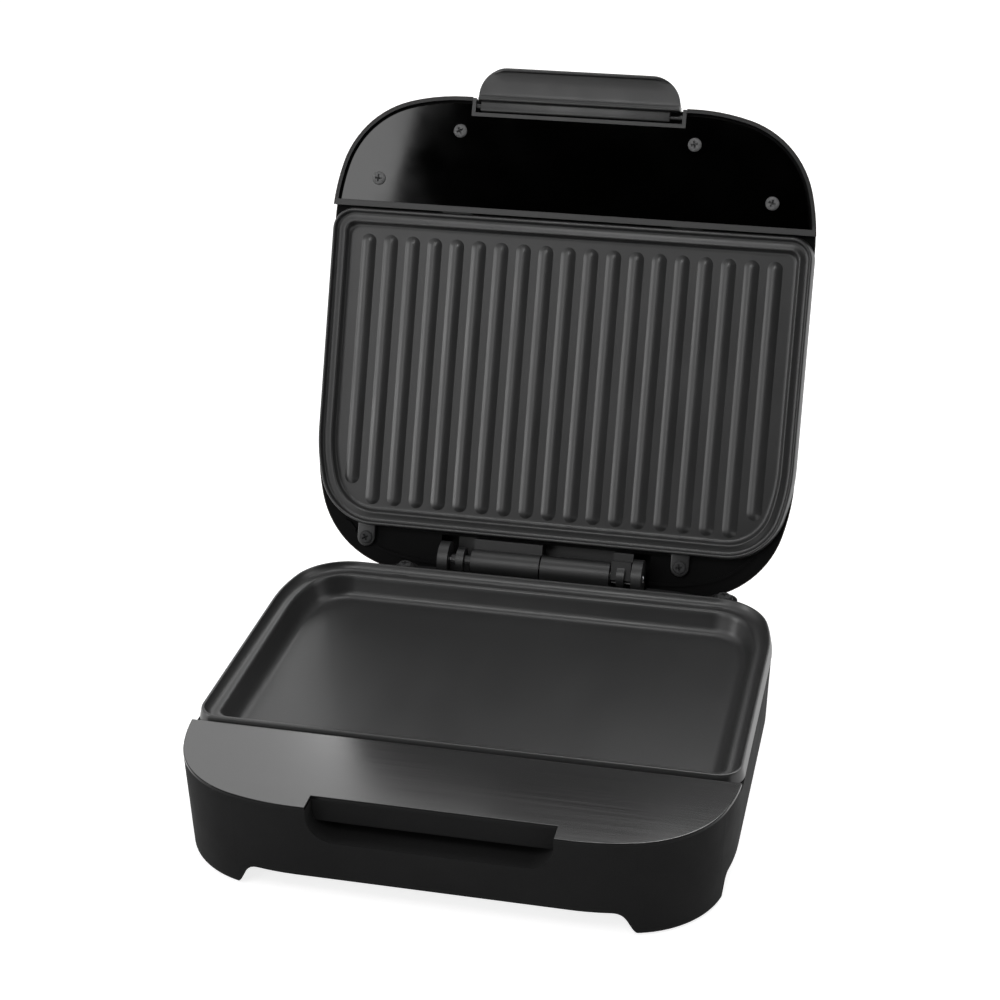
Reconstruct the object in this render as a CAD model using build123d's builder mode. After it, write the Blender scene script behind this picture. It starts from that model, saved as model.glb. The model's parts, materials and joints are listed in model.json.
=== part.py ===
from build123d import *
from math import cos, radians, sin, tan
import os

# Sandwich maker, millimetres, +Z up, front towards -Y.
# It is laid out with the lid closed, the plates' centre at x = 0, y = 0 and the table at z = 0.
# At the end the lid is turned open and the whole is centred over the origin.

# Overall plan, seen from above
body_width = 252.8
front_reach = 143.5          # from the plates' centre to the front edge
base_rear_reach = 96.0
lid_rear_reach = 108.0
corner_radius = 49.0         # middle of each corner
ease_radius = 105.0          # flatter arcs that lead in and out of a corner
ease_angle = 16.0
corner_taper = 0.09          # how much the base's corners tighten per unit of height

# Heights and drafts
rim_height = 52.5            # closing plane, where the rims of the two plates meet
lid_height = 38.0            # from the closing plane to the top of the closed lid
arch_height = 12.9           # underside between the legs
side_draft = 1.9
front_draft = 6.5
lid_draft = 6.0
face_gap = 1.5               # from the closing plane to the deck, and to the lid's face

# Cast cooking plates
plate_width = 250.0
plate_depth = 164.4
plate_front_radius = 11.0
plate_rear_radius = 29.5
plate_ease_radius = 100.0    # flatter arc between each side and its rear corner
plate_ease_angle = 16.0
pan_corner = 5.0
plate_wall = 2.2
rim_land = 1.3               # width of the bright rim
rim_slope = 0.6
skirt_height = 6.0
skirt_flare = 1.2
shelf_inset = 7.0            # outer edge of the plate to the inner edge of its shelf
lower_shelf_depth = 4.0
lower_floor_depth = 15.0
lower_wall_run = 3.4
upper_shelf_depth = 2.8
upper_floor_depth = 6.0
upper_wall_run = 0.9
lower_blend = 2.0            # rounding of the shelf's edges and the floor's edge
upper_blend = 1.0
rib_count = 19
rib_pitch = 11.84
rib_width = 5.6
rib_height = 2.6
rib_blend = 2.2
rib_front = 72.0             # front ends of the ribs, from the plates' centre
rib_rear = 70.0
outer_rib_rear = 60.5        # the two outer ribs stop short of the round corners
lug_right = 96.0
lug_left = 71.0
lug_reach = 89.5             # from the plates' centre to the lug screws
lug_radius = 4.75
lug_thickness = 2.5
tongue_spacing = 120.0
tongue_width = 16.0
tongue_length = 4.0

# Base
base_wall = 2.8
flange_thickness = 2.5
seat_gap = 0.2               # between parts that are laid on each other
deck_thickness = 1.6
deck_edge_gap = 0.4
leg_spread = 94.0            # inner ends of the front legs, from the middle
leg_slope = 15.5             # run of the S curve from a leg up to the arch
side_slope = 11.0
front_leg_end = 105.0        # inner ends of the legs along the sides
rear_leg_end = 56.0
leg_edge = 2.0
boss_radius = 7.0
boss_rise = 1.2
cover_width = 172.0
cover_depth = 132.0
cover_thickness = 1.5
cover_ledge = 10.0
cover_corner = 14.0
cover_screw_inset = 7.5
vent_count = 9
vent_pitch = 14.0
vent_length = 26.0
vent_width = 3.0
foot_radius = 6.0
foot_depth = 2.4
foot_rise = 0.8               # table to the underside of the legs
front_foot = (102.5, -115.5)
rear_foot = (97.5, 76.5)

# Front latch: a notch in the deck, a lip under it and a scoop for the fingers
notch_width = 108.4
notch_depth = 10.0
lip_drop = 13.5              # closing plane to the underside of the lip
scoop_drop = 19.5
scoop_radius = 12.0
undercut = 8.0
block_wall = 2.6

# Lid
skin_thickness = 0.5
lid_wall = 2.0
lid_edge = 14.0
nest_gap = 0.05
ring_width = 1.4
groove_width = 1.7
bead_inset = 7.0             # bead inside the lid, behind the plate
bead_width = 1.6
bead_height = 1.0
strip_depth = 3.0
face_depth = 3.0
panel_thickness = 2.4
slot_frame_width = 111.4     # outside of the frame around the handle's slot
bezel_width = 2.0
slot_height = 8.6            # closing plane to the top of the handle's slot

# Handle
handle_width = 104.4
handle_pivot_reach = 138.7
handle_pivot_rise = 4.0
barrel_radius = 3.0
paddle_reach = 19.8
bar_width = 98.2             # barrel between the ends of the paddle
bar_gap = 0.8
bar_offset = -1.9            # the gap for the pin's end is wider on the right
paddle_corner = 14.5
paddle_inner = 4.6
hook_depth = 1.8
hook_thickness = 1.6
bead_start = 4.4
latch_pin_radius = 1.25
running_gap = 0.05
level_step = 0.01             # edges closer in height than this count as level

# Hinge
hinge_reach = 96.6
hinge_drop = 1.4             # hinge axis below the closing plane
lid_opening = 111.4
hinge_radius = 7.0
ear_radius = 9.6
root_front = 5.0             # wide roots of the two narrow outer knuckles
root_rise = 1.5
root_step = 8.0
stem_width = 4.0
hinge_pin_radius = 2.0
hinge_half_width = 53.5
hinge_gap = 0.8
barrel_length = 36.0
knuckle_length = 10.2
hinge_bay_margin = 2.0
bay_floor_drop = 13.6        # hinge axis to the floor of the bay in the base
bay_roof_rise = 16.4         # hinge axis to the roof of the bay in the lid
hinge_plate_thickness = 3.0
bay_front = 84.6

# Heating
element_radius = 3.25
element_width = 186.0
element_depth = 98.0
element_corner = 22.0
element_gap = 44.0
contact_gap = 0.1
reflector_inset = 15.0
reflector_depth = 9.6
reflector_sheet = 0.8
thermostat_radius = 9.0
thermostat_height = 7.0
fuse_radius = 2.2
fuse_length = 16.0
terminal_size = (34.0, 17.0, 11.0)
gland_x = -84.0
gland_height = 24.0
gland_radius = 6.4
gland_flange = 8.6
cord_bore = 3.9

# Screws
screw_radius = 1.6
screw_head_radius = 3.5
screw_head_height = 1.6
screw_head_edge = 0.6
screw_length = 9.0
screw_clearance = 0.25
recess_width = 0.9
recess_length = 3.2
panel_screw_inner = (61.0, 125.6)
panel_screw_outer = (102.6, 98.7)

# Indicator lamps on the lid
lamp_spacing = 26.0
lamp_reach = 106.0
lens_radius = 3.0
lens_length = 5.0
lens_rise = 0.7
lamp_length = 9.0

# Worked out from the values above
half_width = body_width / 2
side_top = rim_height - skirt_height - seat_gap
flange_under = side_top - flange_thickness
deck_seat = rim_height - face_gap - deck_thickness
deck_rear = plate_depth / 2 + skirt_flare + deck_edge_gap
notch_back = front_reach - notch_depth
scoop_floor = rim_height - scoop_drop
lip_under = rim_height - lip_drop
cover_top = arch_height + cover_thickness
floor_top = cover_top + flange_thickness
hinge_height = rim_height - hinge_drop
bay_floor = hinge_height - bay_floor_drop
bay_roof = hinge_height + bay_roof_rise
lid_face = rim_height + face_gap
lid_side = rim_height + skirt_height + seat_gap
front_floor = lid_face + face_depth
handle_pivot_height = rim_height + handle_pivot_rise
floor_inset = shelf_inset + lower_wall_run
pan_under = rim_height - lower_floor_depth - plate_wall
upper_back = rim_height + upper_floor_depth + plate_wall
hinge_axis = Axis((0, hinge_reach, hinge_height), (1, 0, 0))
lug_points = [(lug_right, lug_reach), (-lug_left, lug_reach)]
upper_lug_points = [(-x, y) for x, y in lug_points]
foot_points = [(side * x, y) for x, y in (front_foot, rear_foot) for side in (-1, 1)]
panel_screws_at = [
    (side * x, -y) for x, y in (panel_screw_inner, panel_screw_outer) for side in (-1, 1)
]
cover_screws_at = [
    (x * (cover_width / 2 - cover_screw_inset), y * (cover_depth / 2 - cover_screw_inset))
    for x in (-1, 1) for y in (-1, 1)
]


# Shared profiles
def casing_profile(width, front, rear, inset=0.0, corner=corner_radius):
    """Plan of a casing: straight sides joined by corners that ease in and out."""
    ease = radians(ease_angle)
    reach = ease_radius * (1 - cos(ease) + sin(ease)) + corner * (cos(ease) - sin(ease))
    turns = (
        (ease_radius - inset, ease_angle),
        (corner - inset, 90 - 2 * ease_angle),
        (ease_radius - inset, ease_angle),
    )
    with BuildSketch() as profile:
        with BuildLine():
            line = Line((0, inset - front), (width / 2 - reach, inset - front))
            for radius, angle in turns:
                line = JernArc(line @ 1, line % 1, radius, angle)
            line = Line(line @ 1, (width / 2 - inset, rear - reach))
            for radius, angle in turns:
                line = JernArc(line @ 1, line % 1, radius, angle)
            Line(line @ 1, (0, rear - inset))
            mirror(about=Plane.YZ)
        make_face()
    return profile.sketch


def base_section(height, inset=0.0):
    """Plan of the base at a height: its walls draw in towards the table."""
    drop = rim_height - height
    return casing_profile(
        body_width - 2 * drop * tan(radians(side_draft)),
        front_reach - drop * tan(radians(front_draft)),
        base_rear_reach - drop * tan(radians(side_draft)),
        inset,
        corner_radius - drop * corner_taper,
    )


def lid_section(height, inset=0.0):
    """Plan of the lid at a height: its walls draw in towards the top."""
    run = (height - rim_height) * tan(radians(lid_draft))
    return casing_profile(body_width - 2 * run, front_reach - run, lid_rear_reach - run, inset)


def lid_dome(inset):
    """Solid form of the closed lid, set in evenly, with its rounded top edge."""
    top = rim_height + lid_height - inset
    with BuildPart() as dome:
        with BuildSketch(Plane.XY.offset(rim_height)):
            add(lid_section(rim_height, inset))
        with BuildSketch(Plane.XY.offset(top)):
            add(lid_section(top, inset))
        loft(ruled=True)
        fillet(dome.edges().group_by(Axis.Z)[-1], lid_edge - inset)
    return dome.part


def plate_profile(inset=0.0):
    """Plan of a cooking plate: small corners in front, large eased ones at the hinge."""
    x = plate_width / 2 - inset
    y = plate_depth / 2 - inset
    ease = sin(radians(plate_ease_angle))
    straight = plate_depth / 2 - plate_ease_radius * ease - plate_rear_radius * (1 - ease)
    with BuildSketch() as profile:
        with BuildLine():
            line = Line((x, -y), (x, straight))
            line = JernArc(line @ 1, line % 1, plate_ease_radius - inset, plate_ease_angle)
            line = JernArc(line @ 1, line % 1, plate_rear_radius - inset, 90 - plate_ease_angle)
            mirror(about=Plane.YZ)
            Line(line @ 1, (-(line @ 1).X, y))
            Line((-x, -y), (x, -y))
        make_face()
        fillet(profile.vertices().group_by(Axis.Y)[0], max(plate_front_radius - inset, pan_corner))
    return profile.sketch


def front_half(reach):
    """Everything in front of a line across the casing."""
    with BuildSketch() as area:
        with Locations((0, -reach)):
            Rectangle(2 * body_width, 2 * front_reach, align=(Align.CENTER, Align.MAX))
    return area.sketch


def notch_area(width, reach):
    """Opening across the front edge, as wide as the latch."""
    with BuildSketch() as area:
        with Locations((0, -reach)):
            Rectangle(width, 2 * notch_depth, align=(Align.CENTER, Align.MAX))
    return area.sketch


def edges_at(piece, height):
    """Level edges of a piece at a height."""
    return piece.edges().filter_by_position(Axis.Z, height - level_step, height + level_step)


def cast_plate(shelf_depth, floor_depth, wall_run, blend):
    """A cast plate, food side up and rim at z = 0: flared skirt, shelf, deep floor and lugs."""
    with BuildPart() as casting:
        with BuildSketch(Plane.XY):
            add(plate_profile())
        with BuildSketch(Plane.XY.offset(-skirt_height)):
            add(plate_profile(-skirt_flare))
        loft(ruled=True)
        with BuildSketch(Plane.XY.offset(-shelf_depth)):
            add(plate_profile(shelf_inset - plate_wall))
        with BuildSketch(Plane.XY.offset(-floor_depth - plate_wall)):
            add(plate_profile(shelf_inset + wall_run - plate_wall))
        loft(ruled=True)
        with BuildSketch(Plane.XY):
            add(plate_profile(rim_land))
        with BuildSketch(Plane.XY.offset(-shelf_depth)):
            add(plate_profile(rim_land + rim_slope))
        loft(ruled=True, mode=Mode.SUBTRACT)
        with BuildSketch(Plane.XY.offset(-shelf_depth)):
            add(plate_profile(shelf_inset))
        with BuildSketch(Plane.XY.offset(-floor_depth)):
            add(plate_profile(shelf_inset + wall_run))
        loft(ruled=True, mode=Mode.SUBTRACT)
        fillet(edges_at(casting, -floor_depth), blend)
        fillet(edges_at(casting, -shelf_depth), blend)
        with BuildSketch(Plane.XY.offset(-skirt_height)):
            for x, y in lug_points:
                with Locations((x, y)):
                    Circle(lug_radius)
                    Rectangle(2 * lug_radius, y - plate_depth / 2, align=(Align.CENTER, Align.MAX))
        extrude(amount=lug_thickness)
        with Locations(*[(x, y, -skirt_height + lug_thickness) for x, y in lug_points]):
            Hole(screw_radius + screw_clearance, depth=2 * lug_thickness)
        with BuildSketch(Plane.XY.offset(-skirt_height)):
            with Locations((0, -plate_depth / 2)):
                with GridLocations(tongue_spacing, 0, 2, 1):
                    Rectangle(
                        tongue_width, tongue_length + skirt_flare, align=(Align.CENTER, Align.MAX)
                    )
        extrude(amount=lug_thickness / 2)
    return casting.part


def heating_element(height):
    """Tubular element bent into a flat open loop, its ends turned towards the middle."""
    x = element_width / 2
    y = element_depth / 2
    with BuildPart() as element:
        with BuildLine(Plane.XY.offset(height)):
            route = FilletPolyline(
                (-element_gap / 2, y), (-x, y), (-x, -y), (x, -y), (x, y), (element_gap / 2, y),
                radius=element_corner,
            )
        with BuildSketch(Plane(route @ 0, z_dir=route % 0)):
            Circle(element_radius)
        sweep(path=route)
    return element.part


def reflector_tray(height, lift):
    """Thin sheet tray over the element, open towards the plate; lift points to the plate."""
    with BuildPart() as tray:
        with BuildSketch(Plane.XY.offset(height)):
            add(plate_profile(reflector_inset))
        extrude(amount=lift)
        with BuildSketch(Plane.XY.offset(height)):
            add(plate_profile(reflector_inset + reflector_sheet))
        extrude(amount=lift - lift / abs(lift) * reflector_sheet, mode=Mode.SUBTRACT)
    return tray.part


def screws(places, head_base, direction=1, length=screw_length):
    """Cross-head screws whose heads sit at head_base; direction 1 has the heads up."""
    with BuildPart() as group:
        for x, y in places:
            seat = Plane((x, y, head_base), z_dir=(0, 0, direction))
            with BuildSketch(seat):
                Circle(screw_radius)
            extrude(amount=-length)
            with BuildSketch(seat):
                Circle(screw_head_radius)
            extrude(amount=screw_head_height)
        fillet(group.edges().group_by(Axis.Z)[-1 if direction > 0 else 0], screw_head_edge)
        for x, y in places:
            crown = Plane((x, y, head_base + direction * screw_head_height), z_dir=(0, 0, direction))
            with BuildSketch(crown):
                Rectangle(recess_length, recess_width)
                Rectangle(recess_width, recess_length)
            extrude(amount=-screw_head_height / 2, mode=Mode.SUBTRACT)
    return group.part


def hinge_lug(x_from, x_to, radius, *arms):
    """Knuckle on the hinge axis with arms; each gives two corners of a rectangle."""
    with BuildPart() as lug:
        with BuildSketch(Plane.YZ.offset(x_from)):
            with Locations((hinge_reach, hinge_height)):
                Circle(radius)
                for (y0, z0), (y1, z1) in arms:
                    with Locations(((y0 + y1) / 2, (z0 + z1) / 2)):
                        Rectangle(abs(y1 - y0), abs(z1 - z0))
        extrude(amount=x_to - x_from)
    return lug.part


# Base body
with BuildPart() as base_hollow:
    with BuildSketch(Plane.XY.offset(floor_top)):
        add(base_section(floor_top, base_wall))
    with BuildSketch(Plane.XY.offset(flange_under)):
        add(base_section(flange_under, base_wall))
    loft(ruled=True)
    # Room under the deck
    with BuildSketch(Plane.XY.offset(side_top)):
        add(base_section(side_top, base_wall))
        add(front_half(deck_rear), mode=Mode.INTERSECT)
    extrude(amount=deck_seat - side_top)
    # The walls of the latch notch, of the hinge bay and the lug bosses stay standing
    with BuildSketch(Plane.XY.offset(scoop_floor - block_wall)):
        with Locations((0, undercut + block_wall - notch_back)):
            Rectangle(
                notch_width + 2 * block_wall, 2 * notch_depth + undercut + 2 * block_wall,
                align=(Align.CENTER, Align.MAX),
            )
    extrude(amount=rim_height, mode=Mode.SUBTRACT)
    with BuildSketch(Plane.XY.offset(bay_floor - block_wall)):
        with Locations((0, bay_front - block_wall)):
            Rectangle(
                2 * (hinge_half_width + hinge_bay_margin + block_wall), 2 * notch_depth,
                align=(Align.CENTER, Align.MIN),
            )
        with Locations(*lug_points):
            Circle(boss_radius)
    extrude(amount=rim_height, mode=Mode.SUBTRACT)

with BuildPart() as base_housing:
    with BuildSketch(Plane.XY.offset(foot_rise)):
        add(base_section(foot_rise))
    with BuildSketch(Plane.XY.offset(deck_seat)):
        add(base_section(deck_seat))
    loft(ruled=True)
    fillet(base_housing.edges().group_by(Axis.Z)[0], leg_edge)
    # The walls beside and behind the plate are lower than the front
    with BuildSketch(Plane.XY.offset(side_top)):
        with Locations((0, -deck_rear)):
            Rectangle(2 * body_width, 2 * body_width, align=(Align.CENTER, Align.MIN))
    extrude(amount=rim_height, mode=Mode.SUBTRACT)
    # Bosses for the plate's rear screws
    with BuildSketch(Plane.XY.offset(bay_floor - block_wall)):
        with Locations(*lug_points):
            Circle(boss_radius)
    extrude(amount=side_top + boss_rise - bay_floor + block_wall)
    add(base_hollow.part, mode=Mode.SUBTRACT)
    # Opening for the plate's pan, and seats for its lugs
    with BuildSketch(Plane.XY.offset(side_top - 2 * flange_thickness)):
        add(plate_profile(shelf_inset - plate_wall - seat_gap))
    extrude(amount=rim_height, mode=Mode.SUBTRACT)
    with BuildSketch(Plane.XY.offset(side_top)):
        add(plate_profile(-skirt_flare - seat_gap))
        for x, y in lug_points:
            with Locations((x, y)):
                Circle(lug_radius + screw_clearance)
                Rectangle(2 * (lug_radius + screw_clearance), y, align=(Align.CENTER, Align.MAX))
    extrude(amount=rim_height, mode=Mode.SUBTRACT)
    with Locations(*[(x, y, side_top) for x, y in lug_points]):
        Hole(screw_radius + seat_gap / 2, depth=screw_length)
    # Arches between the legs, from front to back and from side to side
    with BuildSketch(Plane.XZ.offset(-2 * front_reach)):
        with BuildLine():
            rise = Spline(
                (leg_spread, 0), (leg_spread - leg_slope, arch_height), tangents=[(-1, 0), (-1, 0)]
            )
            Line(rise @ 1, (0, arch_height))
            Line(rise @ 0, (leg_spread, -arch_height))
            Line((leg_spread, -arch_height), (0, -arch_height))
            mirror(about=Plane.YZ)
        make_face()
    extrude(amount=4 * front_reach, mode=Mode.SUBTRACT)
    with BuildSketch(Plane.YZ.offset(-body_width)):
        with BuildLine():
            fore = Spline(
                (-front_leg_end, 0), (side_slope - front_leg_end, arch_height),
                tangents=[(1, 0), (1, 0)],
            )
            aft = Spline(
                (rear_leg_end - side_slope, arch_height), (rear_leg_end, 0),
                tangents=[(1, 0), (1, 0)],
            )
            Line(fore @ 1, aft @ 0)
            Polyline(aft @ 1, (rear_leg_end, -arch_height), (-front_leg_end, -arch_height), fore @ 0)
        make_face()
    extrude(amount=2 * body_width, mode=Mode.SUBTRACT)
    # Opening in the floor for the bottom cover
    with BuildSketch(Plane.XY):
        RectangleRounded(cover_width, cover_depth, cover_corner)
    extrude(amount=cover_top + seat_gap / 2, mode=Mode.SUBTRACT)
    with BuildSketch(Plane.XY):
        RectangleRounded(
            cover_width - 2 * cover_ledge, cover_depth - 2 * cover_ledge, cover_corner - cover_ledge
        )
    extrude(amount=flange_under, mode=Mode.SUBTRACT)
    with Locations(*[(x, y, cover_top) for x, y in cover_screws_at]):
        Cylinder(screw_radius + seat_gap / 2, screw_length, mode=Mode.SUBTRACT)
    # Latch notch with its lip, and the scoop that undercuts the lip
    for back, top in ((notch_back, 2 * rim_height), (notch_back - undercut, lip_under)):
        with BuildSketch(Plane.XZ.offset(back)) as scoop:
            with Locations((0, scoop_floor)):
                Rectangle(notch_width, 2 * rim_height, align=(Align.CENTER, Align.MIN))
            fillet(scoop.vertices().group_by(Axis.Y)[0], scoop_radius)
            with Locations((0, top)):
                Rectangle(
                    2 * notch_width, 2 * rim_height, align=(Align.CENTER, Align.MIN),
                    mode=Mode.SUBTRACT,
                )
        extrude(amount=2 * notch_depth + undercut, mode=Mode.SUBTRACT)
    # Hinge bay
    with BuildSketch(Plane.XY.offset(bay_floor)):
        with Locations((0, bay_front)):
            Rectangle(
                2 * (hinge_half_width + hinge_bay_margin), 2 * notch_depth,
                align=(Align.CENTER, Align.MIN),
            )
    extrude(amount=rim_height, mode=Mode.SUBTRACT)
    # Hole for the cord gland
    with Locations(Location((gland_x, base_rear_reach, gland_height), (90, 0, 0))):
        Cylinder(gland_radius + seat_gap / 2, 6 * base_wall, mode=Mode.SUBTRACT)
    # Recesses for the foot pads
    with BuildSketch(Plane.XY):
        with Locations(*foot_points):
            Circle(foot_radius + seat_gap)
    extrude(amount=foot_depth + contact_gap, mode=Mode.SUBTRACT)

with BuildPart() as base_deck:
    with BuildSketch(Plane.XY.offset(deck_seat)):
        add(base_section(deck_seat))
        add(front_half(deck_rear), mode=Mode.INTERSECT)
        add(notch_area(notch_width, notch_back), mode=Mode.SUBTRACT)
    extrude(amount=deck_thickness)
    fillet(base_deck.edges().group_by(Axis.Z)[-1], deck_edge_gap)
    # Rib under the deck that locates it inside the walls
    with BuildSketch(Plane.XY.offset(deck_seat)):
        add(base_section(deck_seat, base_wall + 4 * seat_gap))
        add(base_section(deck_seat, 2 * base_wall), mode=Mode.SUBTRACT)
        add(front_half(deck_rear + base_wall), mode=Mode.INTERSECT)
        Rectangle(notch_width + 4 * block_wall, 2 * front_reach, mode=Mode.SUBTRACT)
    extrude(amount=side_top - deck_seat + seat_gap)

with BuildPart() as bottom_cover:
    with BuildSketch(Plane.XY.offset(arch_height)):
        RectangleRounded(
            cover_width - 2 * seat_gap, cover_depth - 2 * seat_gap, cover_corner - seat_gap
        )
        with GridLocations(vent_pitch, cover_depth / 3, vent_count, 2):
            SlotOverall(vent_length, vent_width, rotation=90, mode=Mode.SUBTRACT)
        with Locations(*cover_screws_at):
            Circle(screw_radius + screw_clearance, mode=Mode.SUBTRACT)
    extrude(amount=cover_thickness)

with BuildPart() as bottom_cover_screws:
    add(screws(cover_screws_at, arch_height, -1, screw_length / 2))

with BuildPart() as foot_pads:
    with BuildSketch(Plane.XY):
        with Locations(*foot_points):
            Circle(foot_radius)
    extrude(amount=foot_depth)

with BuildPart() as lower_plate:
    with Locations((0, 0, rim_height)):
        add(cast_plate(lower_shelf_depth, lower_floor_depth, lower_wall_run, lower_blend))

with BuildPart() as lower_plate_screws:
    add(screws(lug_points, rim_height - skirt_height + lug_thickness))

with BuildPart() as lower_heater:
    add(heating_element(pan_under - contact_gap - element_radius))

with BuildPart() as lower_reflector:
    add(reflector_tray(pan_under - contact_gap, -reflector_depth))

with BuildPart() as thermostat:
    with BuildSketch(Plane.XY.offset(pan_under - contact_gap)):
        Circle(thermostat_radius)
    extrude(amount=-thermostat_height)
    with BuildSketch(Plane.XY.offset(pan_under - contact_gap)):
        Rectangle(4 * thermostat_radius, thermostat_radius)
    extrude(amount=-reflector_sheet)

with BuildPart() as thermal_fuse:
    with Locations(Location((element_gap, 0, pan_under - contact_gap - fuse_radius), (0, 90, 0))):
        Cylinder(fuse_radius, fuse_length)

with BuildPart() as terminal_block:
    length, width, height = terminal_size
    with BuildSketch(Plane.XY.offset(cover_top + contact_gap)):
        Rectangle(length, width)
    extrude(amount=height)
    with BuildSketch(Plane.XY.offset(cover_top + contact_gap + height)):
        with GridLocations(length / 3, 0, 3, 1):
            Circle(screw_head_radius / 2)
    extrude(amount=-height / 2, mode=Mode.SUBTRACT)

with BuildPart() as cord_gland:
    wall_face = base_rear_reach - (rim_height - gland_height) * tan(radians(side_draft))
    with Locations(Location((gland_x, wall_face - base_wall, gland_height), (-90, 0, 0))):
        Cylinder(gland_radius, 2 * base_wall, align=(Align.CENTER, Align.CENTER, Align.MIN))
    with Locations(Location((gland_x, wall_face + seat_gap, gland_height), (-90, 0, 0))):
        Cylinder(gland_flange, base_wall, align=(Align.CENTER, Align.CENTER, Align.MIN))
    fillet(cord_gland.edges().group_by(Axis.Y)[-1], screw_clearance)
    with Locations(Location((gland_x, wall_face, gland_height), (-90, 0, 0))):
        Cylinder(cord_bore, 6 * base_wall, mode=Mode.SUBTRACT)

# Hinge. From left to right: ear, base knuckle, lid barrel, base barrel, lid knuckle, ear
ear_thickness = hinge_half_width - hinge_gap - 2 * hinge_gap - barrel_length - knuckle_length
barrel_start = hinge_gap / 2
knuckle_start = barrel_start + barrel_length + hinge_gap
ear_start = knuckle_start + knuckle_length + hinge_gap
stem_start = knuckle_start + (knuckle_length - stem_width) / 2
base_arm = ((-hinge_radius, 0), (0, hinge_plate_thickness - bay_floor_drop))
base_root = ((-root_front, root_rise), (0, hinge_plate_thickness - bay_floor_drop))
ear_arm = ((-ear_radius, 0), (0, hinge_plate_thickness - bay_floor_drop))
lid_arm = ((bay_front - hinge_reach, hinge_drop), (0, bay_roof_rise - hinge_plate_thickness))
lid_root = ((-root_step, -root_front), (root_rise, bay_roof_rise - hinge_plate_thickness))
root_ring = hinge_pin_radius + root_rise

with BuildPart() as base_hinge_block:
    add(hinge_lug(barrel_start, barrel_start + barrel_length, hinge_radius, base_arm))
    add(hinge_lug(-stem_start - stem_width, -stem_start, hinge_radius, base_arm))
    add(hinge_lug(-knuckle_start - knuckle_length, -knuckle_start, root_ring, base_root))
    add(hinge_lug(-hinge_half_width, -ear_start, ear_radius, ear_arm))
    add(hinge_lug(ear_start, hinge_half_width, ear_radius, ear_arm))
    with BuildSketch(Plane.XY.offset(bay_floor + contact_gap)):
        with Locations((0, bay_front + seat_gap)):
            Rectangle(
                2 * hinge_half_width, hinge_reach - bay_front - 2 * hinge_gap,
                align=(Align.CENTER, Align.MIN),
            )
    extrude(amount=hinge_plate_thickness)
    with Locations(Location((0, hinge_reach, hinge_height), (0, 90, 0))):
        Cylinder(hinge_pin_radius + running_gap, 4 * hinge_half_width, mode=Mode.SUBTRACT)

with BuildPart() as lid_hinge_block:
    add(hinge_lug(-barrel_start - barrel_length, -barrel_start, hinge_radius, lid_arm))
    add(hinge_lug(stem_start, stem_start + stem_width, hinge_radius, lid_arm))
    add(hinge_lug(knuckle_start, knuckle_start + knuckle_length, root_ring, lid_arm, lid_root))
    with BuildSketch(Plane.XY.offset(bay_roof - contact_gap)):
        with Locations((0, bay_front + seat_gap)):
            Rectangle(
                2 * (ear_start - hinge_gap), hinge_reach - bay_front,
                align=(Align.CENTER, Align.MIN),
            )
    extrude(amount=-hinge_plate_thickness)
    with Locations(Location((0, hinge_reach, hinge_height), (0, 90, 0))):
        Cylinder(hinge_pin_radius + running_gap, 4 * hinge_half_width, mode=Mode.SUBTRACT)

with BuildPart() as hinge_pin:
    with Locations(Location((0, hinge_reach, hinge_height), (0, 90, 0))):
        Cylinder(hinge_pin_radius, 2 * hinge_half_width + hinge_gap)
    chamfer(hinge_pin.edges().filter_by(GeomType.CIRCLE), screw_clearance)

# Lid body, closed
slot_reach = notch_back + bezel_width
slot_width = slot_frame_width - 2 * bezel_width

with BuildPart() as lid_opening_below:
    # What is cut away below the lid's skin: low walls beside the plate, a deeper front
    with BuildSketch(Plane.XY.offset(rim_height - lid_height)):
        Rectangle(4 * body_width, 4 * body_width)
    extrude(amount=lid_height + face_gap)
    with BuildSketch(Plane.XY.offset(rim_height)):
        with Locations((0, -deck_rear)):
            Rectangle(2 * body_width, 2 * body_width, align=(Align.CENTER, Align.MIN))
    extrude(amount=skirt_height + seat_gap)
    # Slot for the handle
    with BuildSketch(Plane.XY.offset(rim_height)):
        add(notch_area(slot_frame_width, notch_back))
    extrude(amount=slot_height)

with BuildPart() as lid_skin:
    add(lid_dome(0))
    add(lid_dome(skin_thickness), mode=Mode.SUBTRACT)
    add(lid_opening_below.part, mode=Mode.SUBTRACT)
    with Locations((0, -lamp_reach, rim_height + lid_height)):
        with GridLocations(lamp_spacing, 0, 2, 1):
            Hole(lens_radius + seat_gap, depth=lens_length)

with BuildPart() as lid_hollow:
    add(lid_dome(skin_thickness + lid_wall))
    with BuildSketch(Plane.XY.offset(rim_height)):
        Rectangle(2 * body_width, 4 * front_reach)
    extrude(amount=lid_side - rim_height + flange_thickness, mode=Mode.SUBTRACT)
    # The walls of the handle's slot, of the hinge bay and the lug bosses stay standing
    with BuildSketch(Plane.XY.offset(rim_height)):
        add(notch_area(slot_frame_width + 2 * block_wall, notch_back - block_wall))
    extrude(amount=slot_height + block_wall, mode=Mode.SUBTRACT)
    with BuildSketch(Plane.XY.offset(rim_height)):
        with Locations((0, bay_front - block_wall)):
            Rectangle(
                2 * (hinge_half_width + hinge_bay_margin + block_wall), 4 * notch_depth,
                align=(Align.CENTER, Align.MIN),
            )
        with Locations(*upper_lug_points):
            Circle(boss_radius)
    extrude(amount=bay_roof + block_wall - rim_height, mode=Mode.SUBTRACT)

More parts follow.
